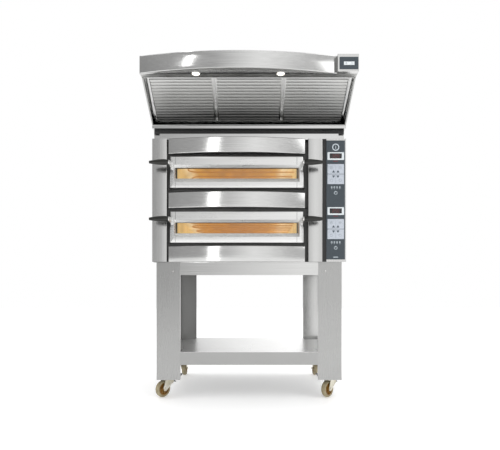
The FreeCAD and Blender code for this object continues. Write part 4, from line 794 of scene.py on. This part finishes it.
def controls():
    """Control column: slate panel, and for each deck a display, a keypad and its printed marks."""
    dress(SLATE, "control_panel")
    panel_low, panel_high = low("control_panel"), high("control_panel")
    groove = plate(high("pillar_right")[0] + 0.5 * MM, panel_low[0] - 0.5 * MM, FRONT + 4 * MM,
                   FRONT + 6 * MM, BODY_LOW + 0.5 * MM, BODY_TOP - 0.5 * MM, 0.3 * MM)
    piece("panel_groove_gasket", groove, SEAM, "oven")
    face = panel_low[1]
    pads_low, pads_high = low("keypads"), high("keypads")
    shows_low, shows_high = low("displays"), high("displays")
    pitch = low("door_inner_upper")[2] - low("door_inner_lower")[2]
    x0, x1 = pads_low[0], pads_high[0]
    centre = (x0 + x1) / 2
    proud = pads_low[1]
    ink = proud + 0.1 * MM
    laid = face - PRINT
    pads, shows, windows, digits, inks, whites = [], [], [], [], [], []

    def patch(x, half, z, bottom, top, y):
        """Strip of half its width to each side of x, from bottom to top over z, in millimetres."""
        return strip(x - half * MM, x + half * MM, z + bottom * MM, z + top * MM, y)

    for deck, reading in enumerate(("250", "320")):
        z0 = pads_low[2] + deck * pitch
        z1 = z0 + pads_high[2] - pads_low[2] - pitch
        mid = (z0 + z1) / 2
        for bottom, top in ((z0, mid - 0.9 * MM), (mid + 0.9 * MM, z1)):
            pads.append(prism(rectangle(x0, x1, bottom, top, 3 * MM), proud, face, "Y", 0.4 * MM))
        inks.append(strip(x0 + 1 * MM, x1 - 1 * MM, mid - 1.2 * MM, mid + 1.2 * MM, proud + 0.3 * MM))
        for side in (-1, 1):
            for way in (1, -1):
                inks.append(arrow(centre + side * 13 * MM, mid + way * 14 * MM, way, ink))
            corner = centre + side * 26 * MM
            for above in (-1, 1):
                inks.append(ring_face(corner, mid + above * 38 * MM, proud - 0.1 * MM, 8, 7.2))
            inks.append(patch(corner, 5, mid, 37.4, 38.6, ink))
        for bottom, top in ((z0 + 4 * MM, mid - 3 * MM), (mid + 3 * MM, z1 - 4 * MM)):
            inks.append(strip(centre - 0.3 * MM, centre + 0.3 * MM, bottom, top, ink))
        s0 = shows_low[2] + deck * pitch
        s1 = s0 + shows_high[2] - shows_low[2] - pitch
        shows.append(prism(rectangle(x0, x1, s0, s1, 2.5 * MM), proud, face, "Y", 0.4 * MM))
        w0, w1 = s0 + 9 * MM, s1 - 7 * MM
        windows.append(prism(rectangle(centre - 36 * MM, centre + 36 * MM, w0, w1, 2 * MM),
                             proud - 0.6 * MM, proud + 0.2 * MM, "Y", 0.2 * MM))
        for place, character in enumerate(reading):
            digits.append(digit(character, centre + (place - 1) * 15 * MM, (w0 + w1) / 2, 16 * MM,
                                proud - 0.55 * MM))
        digits.append(patch(centre, 14, s0, -9, -5, face))
        for x in centre + np.array([-24, -8, 8, 24]) * MM:
            whites.append(ring_face(x, z0 - 18 * MM, laid, 4.6, 2.2, 20))
            whites.append(patch(x, 4, z0, -28, -26.4, face))
        whites.append(ring_face(centre, z0 - 52 * MM, laid, 10, 7.5))
        whites.append(patch(centre, 1.2, z0, -50, -40, face))
    whites.append(patch(centre, 14, panel_low[2], 12, 16, face))
    knob_z = panel_high[2] - 40 * MM
    whites.append(ring_face(centre, knob_z, laid, 21, 15.5, 40))
    whites.append(patch(centre, 1.6, knob_z, -9, 9, face))
    piece("keypad_membranes", joined(*pads), MEMBRANE, "oven", ("keypads",))
    piece("display_bezels", joined(*shows), MEMBRANE_LIGHT, "oven", ("displays",))
    piece("display_windows", joined(*windows), SMOKED, "oven")
    piece("display_digits", joined(*digits), DIGITS, "oven")
    piece("keypad_prints", joined(*inks), PRINT_DARK, "oven")
    piece("panel_prints", joined(*whites), PRINT_WHITE, "oven")


# ---------------------------------------------------------------- hood
def hood():
    """Canopy, plinth, bowed fascia with its underside, lights, control housing and rocker."""
    dress(STEEL_ACROSS, "hood_canopy", "hood_base")
    box_low, box_high = low("hood_control_box"), high("hood_control_box")
    x0, x1 = LEFT, box_low[0]
    bulge = HOOD_FRONT - low("hood_fascia")[1]
    fascia = bowed_front(x0, x1, bulge, HOOD_FRONT, HOOD_FRONT + 12 * MM, UNDERSIDE, HOOD_TOP, 72, 5 * MM)
    x = np.linspace(x0 + 1 * MM, x1 - 1 * MM, 60)
    bow = np.column_stack([x, arc_depth(x, x0, x1, bulge, HOOD_FRONT) + 2.5 * MM])
    back = high("hood_fascia")[1]
    behind = [(RIGHT - SHEET, HOOD_FRONT), (RIGHT - SHEET, back), (LEFT + SHEET, back)]
    under = prism(np.concatenate([bow, behind]), UNDERSIDE + 0.2 * MM, UNDERSIDE + SHEET)
    behind = [(x1, HOOD_FRONT + 2 * MM), (x0, HOOD_FRONT + 2 * MM)]
    over = prism(np.concatenate([bow, behind]), HOOD_TOP - SHEET, HOOD_TOP - 0.2 * MM)
    piece("hood_bowed_front", joined(fascia, over), STEEL_ACROSS, "oven", ("hood_fascia",))
    piece("hood_underside", under, STEEL_MILL, "oven")
    lights_low, lights_high = low("hood_lights"), high("hood_lights")
    radius = (lights_high[1] - lights_low[1]) / 2
    y = (lights_low[1] + lights_high[1]) / 2
    rim = [(2, 0.82), (0, 0.86), (0, 0.97), (2, 1), (20, 0.88), (20, 0.82)]
    lens = [(3, 0), (1.6, 0.3), (1.2, 0.6), (2.4, 0.82), (8, 0.82), (8, 0)]
    rims, lenses = [], []
    for light_x in (lights_low[0] + radius, lights_high[0] - radius):
        for profile, group in ((rim, rims), (lens, lenses)):
            group.append(turned(np.array(profile) * [MM, radius], (light_x, y, UNDERSIDE - 2 * MM),
                                (0, 0, 1), 48))
    piece("hood_light_rims", joined(*rims), BOLT, "oven", ("hood_lights",))
    piece("hood_light_lenses", joined(*lenses), OPAL, "oven")
    control_housing(box_low, box_high)
    filters()
    trims()


def control_housing(lo, hi):
    """Steel housing with a dark panel let into its face, and the white rocker on it."""
    switch_low, switch_high = low("hood_switch"), high("hood_switch")
    x0, front, bottom = switch_low
    x1, behind, top = switch_high
    housing = (lo[0], hi[0], lo[2], hi[2])
    opening = (lo[0] + 8.5 * MM, hi[0] - 2.5 * MM, lo[2] + 10.5 * MM, hi[2] - 17 * MM)
    pocket = (x0 - 0.9 * MM, x1 + 0.9 * MM, bottom - 0.6 * MM, top + 0.6 * MM)
    surround = nested([(housing, 0, hi[1], 2), (housing, 0, lo[1] + 1 * MM, 2), (housing, 1, lo[1], 2),
                       (opening, 0, lo[1], 3), (opening, 0, lo[1] + 3 * MM, 3), (opening, 0, hi[1], 3)])
    piece("hood_housing_frame", surround, STEEL_ACROSS, "oven", ("hood_control_box",))
    dark = nested([(opening, 0.1, hi[1], 3), (opening, 0.1, lo[1] + 0.5 * MM, 3),
                   (pocket, 0, lo[1] + 0.5 * MM, 0.5), (pocket, 0, hi[1] - 2.5 * MM, 0.5)])
    back = plate(x0 - 2 * MM, x1 + 2 * MM, hi[1] - 2.4 * MM, hi[1] - 0.5 * MM,
                 bottom - 2 * MM, top + 2 * MM)
    piece("hood_housing_panel", joined(dark, back), SLATE, "oven")
    centre = (switch_low + switch_high) / 2
    u = np.linspace(-1, 1, 25)
    crest = front + 0.9 * MM * (1 - np.abs(u) ** 1.5)
    outline = np.concatenate([np.column_stack([centre[0] + u * (x1 - x0) / 2, crest]),
                              [(x1, behind), (x0, behind)]])
    piece("hood_rocker", prism(outline, bottom, top), ROCKER, "rocker", ("hood_switch",))
    marks = joined(strip(centre[0] + 14 * MM, centre[0] + 15.4 * MM, centre[2] - 4 * MM,
                         centre[2] + 4 * MM, front + 0.45 * MM, 0.2 * MM),
                   ring_face(centre[0] - 15 * MM, centre[2], front + 0.25 * MM, 4, 2.9))
    piece("hood_rocker_marks", marks, PRINT_DARK, "rocker")


def on_slope(shape, start):
    """Shape drawn as (across, up the slope, outwards), laid on the hood's slope from a start."""
    points, faces = shape
    return points @ np.array([(1, 0, 0), FILTER_AXIS, FILTER_OUT]) + start, faces


def filters():
    """Labyrinth filters: a frame and two rows of slats that open towards each other."""
    thickness, width, pitch = 25 * MM, 14 * MM, 20 * MM
    for place in ("left", "middle", "right"):
        node = "filter_" + place
        lo, hi = low(node), high(node)
        x0, x1 = lo[0], hi[0]
        top = hi[1] - thickness * abs(FILTER_OUT[1])
        length = (top - lo[1]) / abs(FILTER_AXIS[1])
        bars = ((x0, x1, 0, width, 1 * MM), (x0, x1, length - width, length, 1 * MM),
                (x0, x0 + width, width, length - width, 0.5 * MM),
                (x1 - width, x1, width, length - width, 0.5 * MM))
        shapes = [prism(rectangle(*bar), -thickness, 0, "Z", 1 * MM) for bar in bars]
        count = int((length - 2 * width) // pitch)
        for row, (z, way) in enumerate(((-2 * MM, -1), (2 * MM - thickness, 1))):
            first = length / 2 - (count - 1 - row) * pitch / 2
            shapes += [slat(first + k * pitch, x0 + width * 0.6, x1 - width * 0.6, z, way)
                       for k in range(count - row)]
        # the filters take a steel painted darker downwards: painted shade and reflection
        piece("grease_" + node, on_slope(joined(*shapes), np.array([0, top, lo[2]])), STEEL_FILTER_PAINTED_SHADE,
              node, (node,))


def slat(y, x0, x1, z, way):
    """Slat: a shallow U of sheet with turned-in lips, carried across the filter."""
    half = 9.5 * MM
    rise = 5 * MM * way
    corners = [(y - half, z + rise), (y - half, z), (y + half, z), (y + half, z + rise)]
    return prism(folded(corners[::way], 1 * MM, 2 * MM), x0, x1, "X")


def trims():
    """Hems along the slanted edges of the side walls, bright side rails inside them, and the black strip at
    the foot of the canopy, painted shade in the recess there."""
    back = high("hood_fascia")[1]
    length = (FRONT - back) / abs(FILTER_AXIS[1])
    start = np.array([0.0, FRONT, UNDERSIDE - length * FILTER_AXIS[2]])
    thickness = 1.6 * MM
    hems, rails = [], []
    for edge, inward in ((LEFT, MM), (RIGHT, -MM)):
        for near, far, foot, end, outer, group in ((2, 9, 2, 2, 0, hems), (3, 30, -14, 3, -36, rails)):
            a, b = sorted((edge + inward * near, edge + inward * far))
            bar = prism(rectangle(a, b, foot * MM, length - end * MM, 1 * MM), outer * MM - thickness,
                        outer * MM, "Z", 0.4 * MM)
            group.append(on_slope(bar, start))
    # the hems take the duller mill sheet: painted shade along their downward edge
    piece("hood_hems", joined(*hems), STEEL_MILL, "oven")
    foot = low("hood_canopy")[2]
    # black strip standing in the recess under the gutter: painted shade
    shade_strip = plate(LEFT + 6 * MM, RIGHT - 6 * MM, FRONT + 35 * MM, FRONT + 41 * MM, foot + 0.3 * MM,
                 foot + 25.7 * MM, 0.8 * MM)
    piece("hood_neck_painted_shade_strip", shade_strip, PAINTED_SHADE_STRIP, "oven")
    piece("hood_side_rails", joined(*rails), STEEL_ACROSS, "oven")


# ---------------------------------------------------------------- scene
def floor():
    """Wide pale floor, one large sheet."""
    mesh = bpy.data.meshes.new("floor")
    reach = 14.0
    points = [(-reach, -reach, 0), (reach, -reach, 0), (reach, reach, 0), (-reach, reach, 0)]
    mesh.from_pydata(points, [], [(0, 1, 2, 3)])
    mesh.materials.append(finish_material("matt_white_studio_floor", 0.5, 0.0, "#f4f4f4",
                                          Emission_Color=linear("#ffffff"), Emission_Strength=0.28)[0])
    ground = bpy.data.objects.new("floor", mesh)
    bpy.context.scene.collection.objects.link(ground)


def softbox(name, place, target, width, height, power, receivers=()):
    """Rectangular area light aimed at a point, on everything or on the named pieces only."""
    lamp = bpy.data.lights.new(name, "AREA")
    lamp.shape = "RECTANGLE"
    lamp.size = width
    lamp.size_y = height
    lamp.energy = power
    light = bpy.data.objects.new(name, lamp)
    light.location = place
    direction = np.array(target) - np.array(place)
    yaw = math.atan2(direction[0], direction[1])
    pitch = math.atan2(direction[2], math.hypot(direction[0], direction[1]))
    light.rotation_euler = (math.pi / 2 + pitch, 0, -yaw)
    light.visible_camera = False
    bpy.context.scene.collection.objects.link(light)
    if receivers:
        lit = bpy.data.collections.new(name + "_receivers")
        for receiver in receivers:
            lit.objects.link(bpy.data.objects[receiver])
        light.light_linking.receiver_collection = lit


def studio():
    """White room: the camera sees white, matt faces get an even light, and metal mirrors a
    screen that brightens from left to right, as beside a large window."""
    bpy.context.scene.view_settings.view_transform = "Standard"
    world = bpy.data.worlds.new("studio")
    world.use_nodes = True
    bpy.context.scene.world = world
    tree = world.node_tree
    tree.nodes.clear()
    place = add_node(tree, "ShaderNodeTexCoord")
    parts = add_node(tree, "ShaderNodeSeparateXYZ", [("Vector", place.outputs["Generated"])])
    across = ranged(tree, parts.outputs["X"], 0.0, 1.0, -0.6, 0.6)
    tint = graded(tree, across.outputs["Result"], [(0.0, "#979797"), (0.1, "#a7a7a7"),
                                                   (0.35, "#aeaeae"), (0.475, "#dcdcdc"),
                                                   (0.592, "#fbfbfb"), (0.75, "#e3e3e3"),
                                                   (0.842, "#c7c7c7"), (1.0, "#c2c2c2")])
    mirrored = add_node(tree, "ShaderNodeBackground", [("Color", tint.outputs["Color"])], Strength=1.3)
    even = add_node(tree, "ShaderNodeBackground", Color=(1, 1, 1, 1), Strength=1.12)
    white = add_node(tree, "ShaderNodeBackground", Color=(1, 1, 1, 1), Strength=1.0)
    ray = add_node(tree, "ShaderNodeLightPath")
    matt = add_node(tree, "ShaderNodeMixShader", [("Fac", ray.outputs["Is Diffuse Ray"]),
                                                  (1, mirrored.outputs["Background"]),
                                                  (2, even.outputs["Background"])])
    seen = add_node(tree, "ShaderNodeMixShader", [("Fac", ray.outputs["Is Camera Ray"]),
                                                  (1, matt.outputs["Shader"]),
                                                  (2, white.outputs["Background"])])
    add_node(tree, "ShaderNodeOutputWorld", [("Surface", seen.outputs["Shader"])])
    softbox("strip_bands", (-0.417, FRONT - 0.94, 1.38), (-0.209, FRONT - 0.04, 1.3), 0.12, 1.6, 2.2,
            ("front_band_bottom", "front_band_middle", "front_band_top"))
    softbox("strip_hood", (-0.671, FRONT - 1.285, 2.26), (-0.313, FRONT - 0.385, 1.835), 0.07, 0.7, 0.9,
            ("hood_bowed_front",))
    softbox("key_right", (2.6, FRONT - 2.4, 2.6), (0.2, FRONT, 1.1), 1.6, 1.6, 14)
    softbox("overhead", (0.0, 0.2, 4.2), (0, 0.2, 0.8), 3.0, 3.0, 30)


def camera():
    """Camera square to the front, low, with its lens shifted up, as a product camera stands."""
    data = bpy.data.cameras.new("camera")
    data.lens = 35.2
    data.sensor_width = 36.0
    data.shift_x = -0.0042
    data.shift_y = 0.1303
    eye = bpy.data.objects.new("camera", data)
    eye.location = (0.018, FRONT - 2.9, 0.648)
    eye.rotation_euler = (math.pi / 2, 0, 0)
    bpy.context.scene.collection.objects.link(eye)
    bpy.context.scene.camera = eye


camera()
floor()
stand()
for castor_name, castor_angle in CASTORS.items():
    castor(castor_name, castor_angle)
pillars()
bands()
shell()
chambers()
doors()
controls()
hood()
studio()
